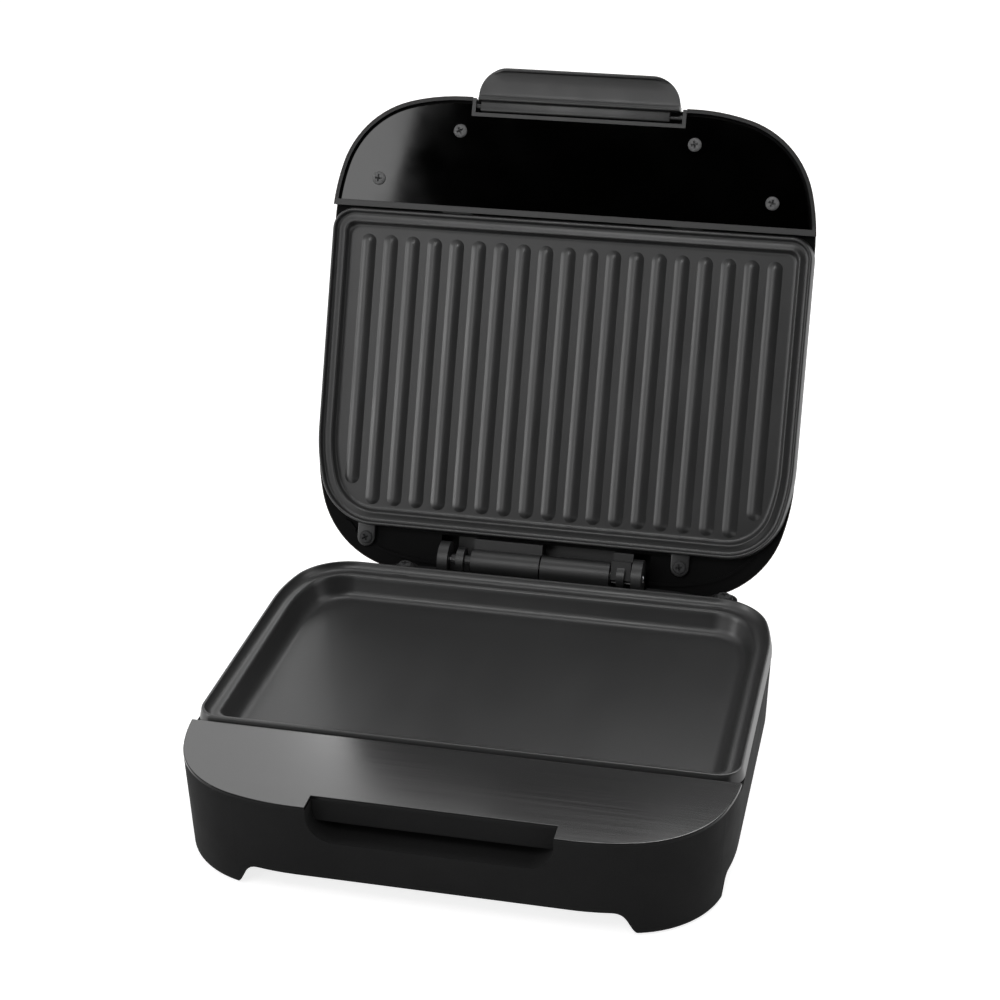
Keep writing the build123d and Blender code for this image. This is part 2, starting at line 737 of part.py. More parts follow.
with BuildPart() as lid_shell:
    add(lid_dome(skin_thickness + nest_gap))
    add(lid_hollow.part, mode=Mode.SUBTRACT)
    add(lid_opening_below.part, mode=Mode.SUBTRACT)
    # Step that takes the face frame and the panel
    with BuildSketch(Plane.XY.offset(rim_height)):
        add(front_half(0))
    extrude(amount=front_floor - rim_height, mode=Mode.SUBTRACT)
    # Opening for the plate's pan, and seats for its lugs
    with BuildSketch(Plane.XY.offset(rim_height)):
        add(plate_profile(shelf_inset - plate_wall - seat_gap))
    extrude(amount=skirt_height + 2 * flange_thickness + seat_gap, mode=Mode.SUBTRACT)
    with Locations(*[(x, y, lid_side) for x, y in upper_lug_points]):
        Cylinder(screw_radius + seat_gap / 2, 2 * screw_length, mode=Mode.SUBTRACT)
    with BuildSketch(Plane.XY.offset(rim_height)):
        with Locations((0, -plate_depth / 2)):
            with GridLocations(tongue_spacing, 0, 2, 1):
                Rectangle(
                    tongue_width + 2 * seat_gap, 2 * tongue_length,
                    align=(Align.CENTER, Align.MAX),
                )
    extrude(amount=skirt_height + seat_gap, mode=Mode.SUBTRACT)
    # Raised bead that follows the lid's edge behind the plate
    with BuildSketch(Plane.XY.offset(lid_side)):
        add(lid_section(lid_side, bead_inset))
        add(lid_section(lid_side, bead_inset + bead_width), mode=Mode.SUBTRACT)
        add(front_half(0), mode=Mode.SUBTRACT)
        add(plate_profile(-skirt_flare - bead_width), mode=Mode.SUBTRACT)
        with Locations(*upper_lug_points):
            Circle(boss_radius, mode=Mode.SUBTRACT)
    extrude(amount=-bead_height)
    # Hinge bay, open below
    with BuildSketch(Plane.XY.offset(rim_height)):
        with Locations((0, bay_front)):
            Rectangle(
                2 * (hinge_half_width + hinge_bay_margin),
                lid_rear_reach - skin_thickness - 2 * lid_wall - bay_front,
                align=(Align.CENTER, Align.MIN),
            )
    extrude(amount=bay_roof - rim_height, mode=Mode.SUBTRACT)
    # Holes for the panel screws and the lamps
    with Locations(*[(x, y, front_floor) for x, y in panel_screws_at]):
        Cylinder(screw_radius + seat_gap / 2, 2 * screw_length, mode=Mode.SUBTRACT)
    with Locations((0, -lamp_reach, rim_height + lid_height)):
        with GridLocations(lamp_spacing, 0, 2, 1):
            Hole(lens_radius + seat_gap, depth=2 * lens_length)

with BuildPart() as lid_frame:
    frame_inset = skin_thickness + nest_gap
    with BuildSketch(Plane.XY.offset(lid_face)):
        add(lid_section(lid_face, frame_inset))
        add(lid_section(lid_face, frame_inset + ring_width), mode=Mode.SUBTRACT)
        with Locations((0, -deck_rear)):
            Rectangle(
                body_width - 2 * frame_inset - seat_gap, strip_depth,
                align=(Align.CENTER, Align.MAX),
            )
        add(front_half(deck_rear), mode=Mode.INTERSECT)
        add(notch_area(slot_frame_width, notch_back), mode=Mode.SUBTRACT)
    extrude(amount=face_depth - contact_gap)
    add(lid_dome(frame_inset), mode=Mode.INTERSECT)

with BuildPart() as lid_panel:
    panel_inset = frame_inset + ring_width + groove_width
    with BuildSketch(Plane.XY.offset(front_floor - contact_gap)):
        add(lid_section(lid_face, panel_inset))
        add(front_half(deck_rear + strip_depth + seat_gap / 2), mode=Mode.INTERSECT)
        add(notch_area(slot_frame_width + seat_gap, notch_back - seat_gap / 2), mode=Mode.SUBTRACT)
        with Locations(*panel_screws_at):
            Circle(screw_radius + screw_clearance, mode=Mode.SUBTRACT)
    extrude(amount=-panel_thickness)

with BuildPart() as panel_screws:
    add(screws(panel_screws_at, front_floor - contact_gap - panel_thickness, -1))

with BuildPart() as latch_bezel:
    with BuildSketch(Plane.XY.offset(lid_face - seat_gap)):
        add(notch_area(slot_frame_width - 2 * contact_gap, notch_back + contact_gap))
        add(notch_area(slot_width, slot_reach), mode=Mode.SUBTRACT)
    extrude(amount=rim_height + slot_height - contact_gap - lid_face + seat_gap)
    add(lid_dome(skin_thickness), mode=Mode.INTERSECT)
    with Locations(Location((0, -handle_pivot_reach, handle_pivot_height), (0, 90, 0))):
        Cylinder(latch_pin_radius + running_gap / 2, 2 * slot_frame_width, mode=Mode.SUBTRACT)

with BuildPart() as ribbed_casting:
    add(cast_plate(upper_shelf_depth, upper_floor_depth, upper_wall_run, upper_blend))
    with BuildSketch(Plane.XY.offset(-upper_floor_depth)):
        for index in range(rib_count):
            x = (index - (rib_count - 1) / 2) * rib_pitch
            rear = outer_rib_rear if index in (0, rib_count - 1) else rib_rear
            with Locations((x, (rear - rib_front) / 2)):
                SlotOverall(rear + rib_front, rib_width, rotation=90)
    extrude(amount=rib_height)
    fillet(edges_at(ribbed_casting, rib_height - upper_floor_depth), rib_blend)

with BuildPart() as upper_plate:
    with Locations(Location((0, 0, rim_height), (0, 180, 0))):
        add(ribbed_casting.part)

with BuildPart() as upper_plate_screws:
    add(screws(upper_lug_points, rim_height + skirt_height - lug_thickness, -1))

with BuildPart() as upper_heater:
    add(heating_element(upper_back + contact_gap + element_radius))

with BuildPart() as upper_reflector:
    add(reflector_tray(upper_back + contact_gap, reflector_depth))

lens_top = rim_height + lid_height + lens_rise
with BuildPart() as power_lens:
    with BuildSketch(Plane.XY.offset(lens_top)):
        with Locations((-lamp_spacing / 2, -lamp_reach)):
            Circle(lens_radius)
    extrude(amount=-lens_length)
    fillet(power_lens.edges().group_by(Axis.Z)[-1], lens_rise)

with BuildPart() as ready_lens:
    with BuildSketch(Plane.XY.offset(lens_top)):
        with Locations((lamp_spacing / 2, -lamp_reach)):
            Circle(lens_radius)
    extrude(amount=-lens_length)
    fillet(ready_lens.edges().group_by(Axis.Z)[-1], lens_rise)

with BuildPart() as indicator_lamps:
    with BuildSketch(Plane.XY.offset(lens_top - lens_length - seat_gap)):
        with Locations((0, -lamp_reach)):
            with GridLocations(lamp_spacing, 0, 2, 1):
                Circle(lens_radius)
    extrude(amount=-lamp_length)

with BuildPart() as latch_pin:
    with Locations(Location((0, -handle_pivot_reach, handle_pivot_height), (0, 90, 0))):
        Cylinder(latch_pin_radius, slot_frame_width - bezel_width)

# Handle body, swung out as in use: a paddle with a hook along its tip, on a barrel
with BuildPart() as latch_handle:
    pivot_end = Plane(
        (-handle_width / 2, -handle_pivot_reach, handle_pivot_height),
        x_dir=(0, 1, 0), z_dir=(1, 0, 0),
    )
    with BuildSketch(pivot_end):
        with BuildLine():
            outer = ThreePointArc(
                (0, barrel_radius), (-paddle_reach / 2, barrel_radius / 2),
                (-paddle_reach, -paddle_inner / 2),
            )
            Polyline(
                outer @ 1,
                (-paddle_reach, -paddle_inner - hook_depth),
                (hook_thickness - paddle_reach, -paddle_inner - hook_depth),
                (hook_thickness - paddle_reach, -paddle_inner),
                (-bead_start, -paddle_inner),
                (-bead_start, -barrel_radius / 2),
                (0, -barrel_radius / 2),
                outer @ 0,
            )
        make_face()
    extrude(amount=handle_width)
    with BuildSketch(Plane.XY.offset(rim_height - lid_height)) as handle_plan:
        with Locations((0, -handle_pivot_reach - paddle_reach)):
            Rectangle(handle_width, 2 * paddle_reach, align=(Align.CENTER, Align.MIN))
        fillet(handle_plan.vertices().group_by(Axis.Y)[0], paddle_corner)
    extrude(amount=2 * lid_height, mode=Mode.INTERSECT)
    # The bar with the pivot is shorter than the paddle
    with BuildSketch(Plane.XY.offset(rim_height - lid_height)):
        with Locations((0, -handle_pivot_reach - barrel_radius - bar_gap)):
            Rectangle(2 * handle_width, 2 * paddle_reach, align=(Align.CENTER, Align.MIN))
        with Locations((bar_offset, -handle_pivot_reach - barrel_radius - bar_gap)):
            Rectangle(
                bar_width, 4 * paddle_reach, align=(Align.CENTER, Align.MIN), mode=Mode.SUBTRACT
            )
    extrude(amount=2 * lid_height, mode=Mode.SUBTRACT)
    with Locations(Location((bar_offset, -handle_pivot_reach, handle_pivot_height), (0, 90, 0))):
        Cylinder(barrel_radius, bar_width)
        Cylinder(latch_pin_radius + running_gap, 2 * handle_width, mode=Mode.SUBTRACT)

base_parts = {
    "base_housing": base_housing, "base_deck": base_deck, "bottom_cover": bottom_cover,
    "bottom_cover_screws": bottom_cover_screws, "foot_pads": foot_pads,
    "lower_plate": lower_plate, "lower_plate_screws": lower_plate_screws,
    "lower_heater": lower_heater, "lower_reflector": lower_reflector,
    "thermostat": thermostat, "thermal_fuse": thermal_fuse,
    "terminal_block": terminal_block, "cord_gland": cord_gland,
    "base_hinge_block": base_hinge_block, "hinge_pin": hinge_pin,
}
lid_parts = {
    "lid_skin": lid_skin, "lid_shell": lid_shell, "lid_frame": lid_frame,
    "lid_panel": lid_panel, "panel_screws": panel_screws, "latch_bezel": latch_bezel,
    "upper_plate": upper_plate, "upper_plate_screws": upper_plate_screws,
    "upper_heater": upper_heater, "upper_reflector": upper_reflector,
    "lid_hinge_block": lid_hinge_block, "latch_pin": latch_pin,
    "power_lens": power_lens, "ready_lens": ready_lens, "indicator_lamps": indicator_lamps,
    "latch_handle": latch_handle,
}

placed = {name: piece.part for name, piece in base_parts.items()}
for name, piece in lid_parts.items():
    placed[name] = piece.part.rotate(hinge_axis, -lid_opening)

# The origin lies on the table, under the middle of the opened part
rear = max(shape.bounding_box().max.Y for shape in placed.values())
front = min(shape.bounding_box().min.Y for shape in placed.values())
shift = Location((0, -(rear + front) / 2, 0))
os.makedirs("parts", exist_ok=True)
for name, shape in placed.items():
    shape = shape.moved(shift)
    shape.label = name
    export_step(shape, f"parts/{name}.step")
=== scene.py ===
"""Looks of a sandwich maker with a hinged lid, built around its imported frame."""

import json
import math

import bmesh
import bpy
from bpy.props import FloatProperty, FloatVectorProperty, IntProperty, PointerProperty
from mathutils import Matrix, Vector


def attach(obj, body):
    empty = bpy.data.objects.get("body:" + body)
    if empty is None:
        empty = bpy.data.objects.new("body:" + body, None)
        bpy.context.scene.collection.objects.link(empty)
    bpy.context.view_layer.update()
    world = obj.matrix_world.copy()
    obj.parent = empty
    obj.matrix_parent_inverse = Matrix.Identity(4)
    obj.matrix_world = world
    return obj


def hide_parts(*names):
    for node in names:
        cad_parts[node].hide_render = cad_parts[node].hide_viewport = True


bl_info = {
    "name": "Sandwich maker looks",
    "version": (1, 0, 0),
    "blender": (4, 5, 0),
    "location": "View3D > Sidebar > Sandwich maker",
    "description": "Finishes, screws, mouldings and studio for a sandwich maker",
    "category": "Object",
}

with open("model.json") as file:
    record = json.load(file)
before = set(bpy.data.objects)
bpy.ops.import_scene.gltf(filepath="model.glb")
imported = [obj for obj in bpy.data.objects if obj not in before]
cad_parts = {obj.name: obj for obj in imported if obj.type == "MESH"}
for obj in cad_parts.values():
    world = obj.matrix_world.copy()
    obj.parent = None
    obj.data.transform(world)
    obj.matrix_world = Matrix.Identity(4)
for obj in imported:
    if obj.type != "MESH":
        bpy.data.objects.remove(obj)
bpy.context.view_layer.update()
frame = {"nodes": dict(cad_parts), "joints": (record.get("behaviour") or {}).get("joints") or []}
nodes = frame["nodes"]
joints = {joint["name"]: joint for joint in frame["joints"]}
hinge_point = Vector(joints["lid_hinge"]["pos_m"])

# How far the lid is opened, and where the plates meet while it is closed, in metres
lid_opening = math.radians(111.4)
rim_height = 0.0525
centre_to_hinge = 0.0966
plates_centre = Vector((0.0, hinge_point.y - centre_to_hinge, rim_height))

# Places with the lid closed, from the plates' centre, with heights from their rims
lug_places = ((0.096, 0.0895), (-0.071, 0.0895))
lug_radius = 0.00475
lug_root = 0.0780
lug_face = 0.0035
tongue_places = (-0.060, 0.060)
tongue_half_width = 0.008
tongue_front = -0.0874
tongue_rear = -0.0800
rib_floor = -0.006
panel_screw_places = ((0.061, -0.1256), (0.1026, -0.0987))
panel_face = 0.0020
frame_strip_y = -0.0850
frame_strip_rise = 0.0015
latch_pivot_y = -0.1387
latch_pivot_rise = 0.0040

# Screws of the bottom cover, either way from the plates' centre and above the table
cover_screw_x = 0.0785
cover_screw_y = 0.0585
cover_screw_height = 0.0129

# Moves what is made round the plates' centre, as the lid lies closed, to the opened lid
lid_place = (
    Matrix.Translation(hinge_point) @ Matrix.Rotation(-lid_opening, 4, "X")
    @ Matrix.Translation(plates_centre - hinge_point)
)


# Settings that a user would change
def colour(name, description, default):
    return FloatVectorProperty(
        name=name, description=description, default=default, min=0.0, max=1.0, size=3, subtype="COLOR"
    )


def length(name, description, default):
    return FloatProperty(
        name=name, description=description, default=default, min=0.0, unit="LENGTH", precision=5
    )


def angle(name, description, degrees):
    return FloatProperty(
        name=name, description=description, default=math.radians(degrees), subtype="ANGLE", unit="ROTATION"
    )


class FinishSettings(bpy.types.PropertyGroup):
    housing: colour("Housing", "Matte moulded base", (0.0150, 0.0150, 0.0152))
    deck: colour("Deck", "Satin plate on the front of the base", (0.0074, 0.0074, 0.0075))
    plates: colour("Plates", "Non-stick coating of the cooking plates", (0.020, 0.020, 0.0202))
    skin: colour("Lid skin", "Dark copper-brown lid", (0.020, 0.013, 0.010))
    shell: colour("Lid shell", "Moulding inside the lid", (0.0022, 0.0022, 0.0023))
    panel: colour("Panel", "Polished panel beside the upper plate", (0.0003, 0.0003, 0.0003))
    trim: colour("Face frame", "Satin ring and strip round the panel", (0.008, 0.008, 0.008))
    handle: colour("Handle", "Latch handle and its bezel", (0.014, 0.014, 0.0142))
    hinge: colour("Hinge", "Hinge knuckles", (0.013, 0.013, 0.0132))
    steel: colour("Steel", "Screws of the panel", (0.130, 0.130, 0.131))
    blacked: colour("Blacked steel", "Screws of the plates and the cover", (0.045, 0.045, 0.046))


class PlateSettings(bpy.types.PropertyGroup):
    width: length("Width", "Side to side at the rim", 0.2500)
    depth: length("Depth", "Front to back at the rim", 0.1644)
    front_radius: length("Front radius", "Rim's corners in front", 0.0110)
    rear_radius: length("Rear radius", "Rim's corners at the hinge", 0.0295)
    ease_radius: length("Ease radius", "Flatter arc from a side into its rear corner", 0.1000)
    ease_angle: angle("Ease angle", "Turn of that arc", 16.0)
    pan_corner: length("Pan corner", "Least radius of the pan's corners", 0.0050)
    rib_count: IntProperty(name="Ribs", description="Ribs on the upper plate", default=19, min=1)
    rib_pitch: length("Rib pitch", "Middle of one rib to the next", 0.01184)
    rib_width: length("Rib width", "Foot of a rib, with its soft flanks", 0.0080)
    rib_height: length("Rib height", "Floor to the top of a rib", 0.0013)
    rib_front: length("Rib front", "Plate's middle to the front ends", 0.0700)
    rib_rear: length("Rib rear", "Plate's middle to the rear ends", 0.0722)
    outer_rib_rear: length("Outer rib rear", "Rear ends of the two outer ribs", 0.0622)


class ScrewSettings(bpy.types.PropertyGroup):
    head_radius: length("Head radius", "Radius of a screw head", 0.0035)
    head_height: length("Head height", "Height of the low head", 0.0016)
    shank_radius: length("Shank radius", "Radius below the head", 0.0016)
    shank_length: length("Shank length", "Length below the head", 0.009)
    recess_length: length("Recess length", "Span of the cross recess", 0.0036)
    recess_width: length("Recess width", "Width of each slot of the cross", 0.0010)
    recess_depth: length("Recess depth", "Depth of the cross", 0.0012)


class LeverSettings(bpy.types.PropertyGroup):
    width: length("Width", "Side to side of the paddle", 0.1044)
    reach: length("Reach", "Pivot to the paddle's tip", 0.0198)
    corner: length("Corner", "Radius of the paddle's corners", 0.0145)
    bar_width: length("Bar width", "Bar that turns on the pivot", 0.0982)
    bar_edge: length("Bar edge", "Bevel at the bar's ends", 0.0006)
    bar_offset: FloatProperty(
        name="Bar offset", description="Bar's middle to the right of the paddle's", default=-0.0019,
        unit="LENGTH", precision=5,
    )


class StageSettings(bpy.types.PropertyGroup):
    azimuth: angle("Azimuth", "Camera's turn to the object's right", 12.606)
    elevation: angle("Elevation", "Camera's height above the horizon", 25.451)
    roll: angle("Roll", "Camera's roll", -0.145)
    distance: length("Distance", "Camera to the aim point", 1.05185)
    side_aim: FloatProperty(
        name="Side aim", description="Aim point to the right of the plates' centre",
        default=-0.000313, unit="LENGTH", precision=5,
    )
    high_aim: FloatProperty(
        name="High aim", description="Aim point above the plates' centre, as the camera sees it",
        default=0.074949, unit="LENGTH", precision=5,
    )
    lens: FloatProperty(
        name="Lens", description="Focal length on a 36 mm sensor", default=79.0, unit="CAMERA"
    )
    fill: FloatProperty(
        name="Fill", description="Brightness of the even light all round", default=0.33, min=0.0
    )
    key: FloatProperty(name="Key", description="Power of the main soft light in watts", default=0.6)
    side: FloatProperty(name="Side", description="Power of the side light in watts", default=5.0)
    top: FloatProperty(name="Top", description="Power of the light overhead in watts", default=3.0)
    back: FloatProperty(name="Back", description="Power of the high light behind in watts", default=9.0)
    strip: FloatProperty(
        name="Strip", description="Power in watts of the tall light that draws the ribs", default=4.5
    )
    front: FloatProperty(
        name="Front", description="Power in watts of the light that shows in the polished panel", default=5.0
    )
    glow: FloatProperty(
        name="Glow", description="Power in watts of the light behind that shows in the deck", default=0.5
    )


# Materials
class Finish:
    """A node material that is built up around one Principled shader."""

    def __init__(self, name, base, roughness, **sockets):
        self.material = bpy.data.materials.new(name)
        self.material.use_nodes = True
        self.tree = self.material.node_tree
        self.shader = self.tree.nodes["Principled BSDF"]
        self.base = (*base, 1.0)
        self.shader.inputs["Base Color"].default_value = self.base
        self.shader.inputs["Roughness"].default_value = roughness
        for socket, value in sockets.items():
            self.shader.inputs[socket.replace("_", " ")].default_value = value
        self.place = self.node("ShaderNodeTexCoord").outputs["Object"]
        self.normal = None

    def node(self, kind, inputs=None, **options):
        made = self.tree.nodes.new(kind)
        for option, value in options.items():
            setattr(made, option, value)
        for socket, value in (inputs or {}).items():
            if isinstance(value, bpy.types.NodeSocket):
                self.tree.links.new(value, made.inputs[socket])
            else:
                made.inputs[socket].default_value = value
        return made

    def noise(self, scale, detail=2.0, stretch=(1.0, 1.0, 1.0)):
        """Clouded noise that stays with the piece when it moves."""
        mapping = self.node("ShaderNodeMapping", {"Vector": self.place, "Scale": stretch})
        texture = self.node(
            "ShaderNodeTexNoise", {"Vector": mapping.outputs[0], "Scale": scale, "Detail": detail}
        )
        return texture.outputs["Fac"]

    def spots(self, scale):
        """Distance to the nearest of many scattered points."""
        texture = self.node("ShaderNodeTexVoronoi", {"Vector": self.place, "Scale": scale})
        return texture.outputs["Distance"]

    def spread(self, source, low, high, start=0.3, end=0.7):
        """A value that goes from low to high while the source goes from start to end."""
        node = self.node(
            "ShaderNodeMapRange",
            {"Value": source, "From Min": start, "From Max": end, "To Min": low, "To Max": high},
        )
        return node.outputs["Result"]

    def shade(self, source, low, high, start=0.3, end=0.7):
        """Varies the base colour between two multiples of itself."""
        current = self.shader.inputs["Base Color"]
        factor = self.spread(source, low, high, start, end)
        mix = self.node("ShaderNodeVectorMath", operation="SCALE")
        if current.is_linked:
            self.tree.links.new(current.links[0].from_socket, mix.inputs[0])
        else:
            mix.inputs[0].default_value = self.base[:3]
        self.tree.links.new(factor, mix.inputs["Scale"])
        self.tree.links.new(mix.outputs[0], current)
        return self

    def dull(self, source, low, high, start=0.3, end=0.7):
        """Varies the roughness between two values."""
        self.tree.links.new(self.spread(source, low, high, start, end), self.shader.inputs["Roughness"])
        return self

    def relief(self, source, strength, depth):
        """Lays a bump over those that are there already."""
        bump = self.node("ShaderNodeBump", {"Height": source, "Strength": strength, "Distance": depth})
        if self.normal:
            self.tree.links.new(self.normal, bump.inputs["Normal"])
        self.normal = bump.outputs["Normal"]
        self.tree.links.new(self.normal, self.shader.inputs["Normal"])
        return self


def moulded(name, base, roughness, grain=1500.0, strength=0.12, **sockets):
    """Spark-eroded plastic: an even fine grain with slow clouding."""
    finish = Finish(name, base, roughness, **sockets)
    cloud = finish.noise(14.0, 3.0)
    fine = finish.noise(grain, 2.0)
    finish.shade(cloud, 0.94, 1.06).shade(fine, 0.93, 1.07)
    finish.dull(finish.noise(60.0, 4.0), roughness - 0.04, roughness + 0.05)
    return finish.relief(fine, strength, 0.0002).material


def coated(name, base):
    """Sprayed non-stick coat: orange peel, tiny light flecks and faint wiping marks."""
    finish = Finish(name, base, 0.36, Specular_IOR_Level=0.55)
    peel = finish.noise(420.0, 3.0)
    fleck = finish.spots(1300.0)
    finish.shade(finish.noise(9.0, 3.0), 0.93, 1.07)
    finish.shade(fleck, 1.35, 0.97, 0.02, 0.16)
    finish.dull(finish.noise(26.0, 5.0, (1.0, 0.35, 1.0)), 0.33, 0.40)
    return finish.relief(peel, 0.16, 0.00015).relief(finish.noise(2600.0), 0.06, 0.0001).material


def satin_deck(name, base):
    """Dark satin metal, brushed from side to side, that is dull on its edges."""
    finish = Finish(name, base, 0.17, IOR=1.7, Specular_IOR_Level=0.9)
    normal = finish.node("ShaderNodeNewGeometry").outputs["Normal"]
    upward = finish.node("ShaderNodeSeparateXYZ", {0: normal}).outputs[2]
    gloss = finish.spread(upward, 0.05, 1.0, 0.90, 0.995)
    finish.tree.links.new(gloss, finish.shader.inputs["Specular IOR Level"])
    brushed = finish.noise(1.0, 4.0, (14.0, 2600.0, 2600.0))
    finish.shade(brushed, 0.94, 1.06)
    finish.dull(finish.noise(1.0, 4.0, (9.0, 900.0, 900.0)), 0.15, 0.20)
    return finish.relief(brushed, 0.012, 0.00005).material


def framed_with_painted_light(name, base, low, high):
    """Satin moulding with painted light: the strip below a height is painted lighter than the ring above it.
    """
    finish = Finish(name, base, 0.40, Specular_IOR_Level=0.35)
    height = finish.node("ShaderNodeSeparateXYZ", {0: finish.place}).outputs[2]
    # Painted highlight: the strip is painted up to 4.5 times the ring's colour, standing in for the light on
    # its face
    finish.shade(height, 4.5, 1.0, low, high)
    finish.dull(finish.noise(60.0, 4.0), 0.36, 0.44)
    return finish.relief(finish.noise(2200.0), 0.05, 0.0002).material


def polished(name, base):
    """Polished moulding with the slow waviness of its tool."""
    finish = Finish(name, base, 0.05, Specular_IOR_Level=0.5)
    finish.dull(finish.noise(35.0, 5.0), 0.035, 0.075)
    return finish.relief(finish.noise(18.0, 2.0), 0.02, 0.0006).material


def flake_paint(name, base):
    """Flake paint that loses its shine towards grazing angles."""
    finish = Finish(name, base, 0.42, Specular_IOR_Level=0.2)
    facing = finish.node("ShaderNodeLayerWeight", {"Blend": 0.5}).outputs["Facing"]
    level = finish.spread(facing, 0.30, 0.0, 0.35, 0.80)
    finish.tree.links.new(level, finish.shader.inputs["Specular IOR Level"])
    flake = finish.spots(3200.0)
    finish.shade(flake, 1.35, 0.85, 0.05, 0.45)
    finish.shade(finish.noise(7.0, 3.0), 0.95, 1.05)
    finish.dull(finish.noise(40.0, 4.0), 0.42, 0.49)
    return finish.relief(finish.noise(900.0, 2.0), 0.05, 0.0001).material


def dull_steel(name, base):
    """Zinc or black oxide on pressed steel: grainy and dull, with darker specks."""
    finish = Finish(name, base, 0.60, Metallic=0.05, Specular_IOR_Level=0.08)
    finish.shade(finish.noise(900.0, 4.0), 0.75, 1.2).shade(finish.noise(260.0, 2.0), 0.88, 1.1)
    finish.dull(finish.noise(500.0, 3.0), 0.48, 0.64)
    return finish.relief(finish.noise(1500.0, 3.0), 0.12, 0.0001).material


def worn_steel(name, base, roughness=0.38, turned=700.0):
    """Plain steel with fine turning marks and uneven dullness."""
    finish = Finish(name, base, roughness, Metallic=1.0)
    marks = finish.noise(turned, 4.0)
    finish.shade(marks, 0.82, 1.15)
    finish.dull(finish.noise(220.0, 4.0), roughness - 0.08, roughness + 0.10)
    return finish.relief(marks, 0.08, 0.0001).material


def heated_tube(name):
    """Element sheath, straw-grey from its heat and darker in patches."""
    finish = Finish(name, (0.30, 0.27, 0.23), 0.45, Metallic=0.9)
    finish.shade(finish.noise(30.0, 4.0), 0.6, 1.15)
    finish.dull(finish.noise(160.0, 4.0), 0.38, 0.58)
    return finish.relief(finish.noise(1400.0), 0.1, 0.0001).material


def clear_lens(name, base):
    """Tinted clear plastic with a faintly ribbed back."""
    finish = Finish(name, base, 0.12, Transmission_Weight=0.35, IOR=1.49)
    wave = finish.node(
        "ShaderNodeTexWave", {"Vector": finish.place, "Scale": 900.0, "Distortion": 0.0}
    )
    finish.shade(wave.outputs["Fac"], 0.8, 1.2, 0.0, 1.0)
    return finish.relief(wave.outputs["Fac"], 0.1, 0.0001).material


def dress(material, *names):
    """Gives pieces of the frame one material."""
    for name in names:
        mesh = nodes[name].data
        mesh.materials.clear()
        mesh.materials.append(material)


class SANDWICH_OT_finish_frame(bpy.types.Operator):
    """Give every piece of the frame its own finish"""

    bl_idname = "sandwich.finish_frame"
    bl_label = "Finish the frame"

    def execute(self, context):
        look = context.scene.sandwich_finish
        dress(moulded("base_moulding", look.housing, 0.70, Specular_IOR_Level=0.05), "base_housing")
        dress(satin_deck("deck_metal", look.deck), "base_deck")
        dress(coated("non_stick", look.plates), "lower_plate", "upper_plate")
        dress(flake_paint("lid_paint", look.skin), "lid_skin")
        dress(moulded("lid_moulding", look.shell, 0.6, Specular_IOR_Level=0.07), "lid_shell")
        dress(polished("panel_polish", look.panel), "lid_panel")
        # Height of the strip, below which the frame is painted lighter: painted light on the strip's face
        strip = (lid_place @ Vector((0.0, frame_strip_y, frame_strip_rise))).z
        painted_light_start, painted_light_end = strip + 0.001, strip + 0.004
        dress(framed_with_painted_light("frame_moulding_painted_light", look.trim, painted_light_start, painted_light_end), "lid_frame")
        dress(moulded("handle_moulding", look.handle, 0.40, 2200.0, 0.06), "latch_handle", "latch_bezel")
        dress(
            moulded("hinge_moulding", look.hinge, 0.42, 2000.0, 0.06),
            "base_hinge_block", "lid_hinge_block",
        )
        dress(moulded("cover_moulding", look.housing, 0.6), "bottom_cover")
        dress(moulded("foot_rubber", (0.02, 0.02, 0.02), 0.85, 900.0, 0.2), "foot_pads")
        dress(moulded("gland_rubber", (0.015, 0.015, 0.015), 0.75, 900.0, 0.2), "cord_gland")
        dress(moulded("terminal_nylon", (0.72, 0.68, 0.58), 0.5), "terminal_block")
        dress(dull_steel("zinc_screws", look.steel), "panel_screws")
        dress(
            dull_steel("blacked_screws", look.blacked),
            "lower_plate_screws", "upper_plate_screws", "bottom_cover_screws",
        )
        dress(worn_steel("pin_steel", (0.45, 0.45, 0.46), 0.3), "hinge_pin")
        # Latch pin painted near black, far darker than the hinge pin's steel: painted shade for the slot it
        # shows in
        dress(worn_steel("latch_pin_painted_shade", (0.05, 0.05, 0.05), 0.45), "latch_pin")
        dress(heated_tube("element_sheath"), "lower_heater", "upper_heater")
        dress(
            worn_steel("reflector_sheet", (0.70, 0.70, 0.69), 0.28, 260.0),
            "lower_reflector", "upper_reflector",
        )
        dress(worn_steel("thermostat_can", (0.55, 0.54, 0.52), 0.33), "thermostat")
        dress(worn_steel("fuse_case", (0.62, 0.50, 0.28), 0.32), "thermal_fuse")
        dress(clear_lens("red_lens", (0.45, 0.02, 0.02)), "power_lens")
        dress(clear_lens("green_lens", (0.03, 0.35, 0.08)), "ready_lens")
        dress(clear_lens("lamp_glass", (0.85, 0.85, 0.85)), "indicator_lamps")
        return {"FINISHED"}


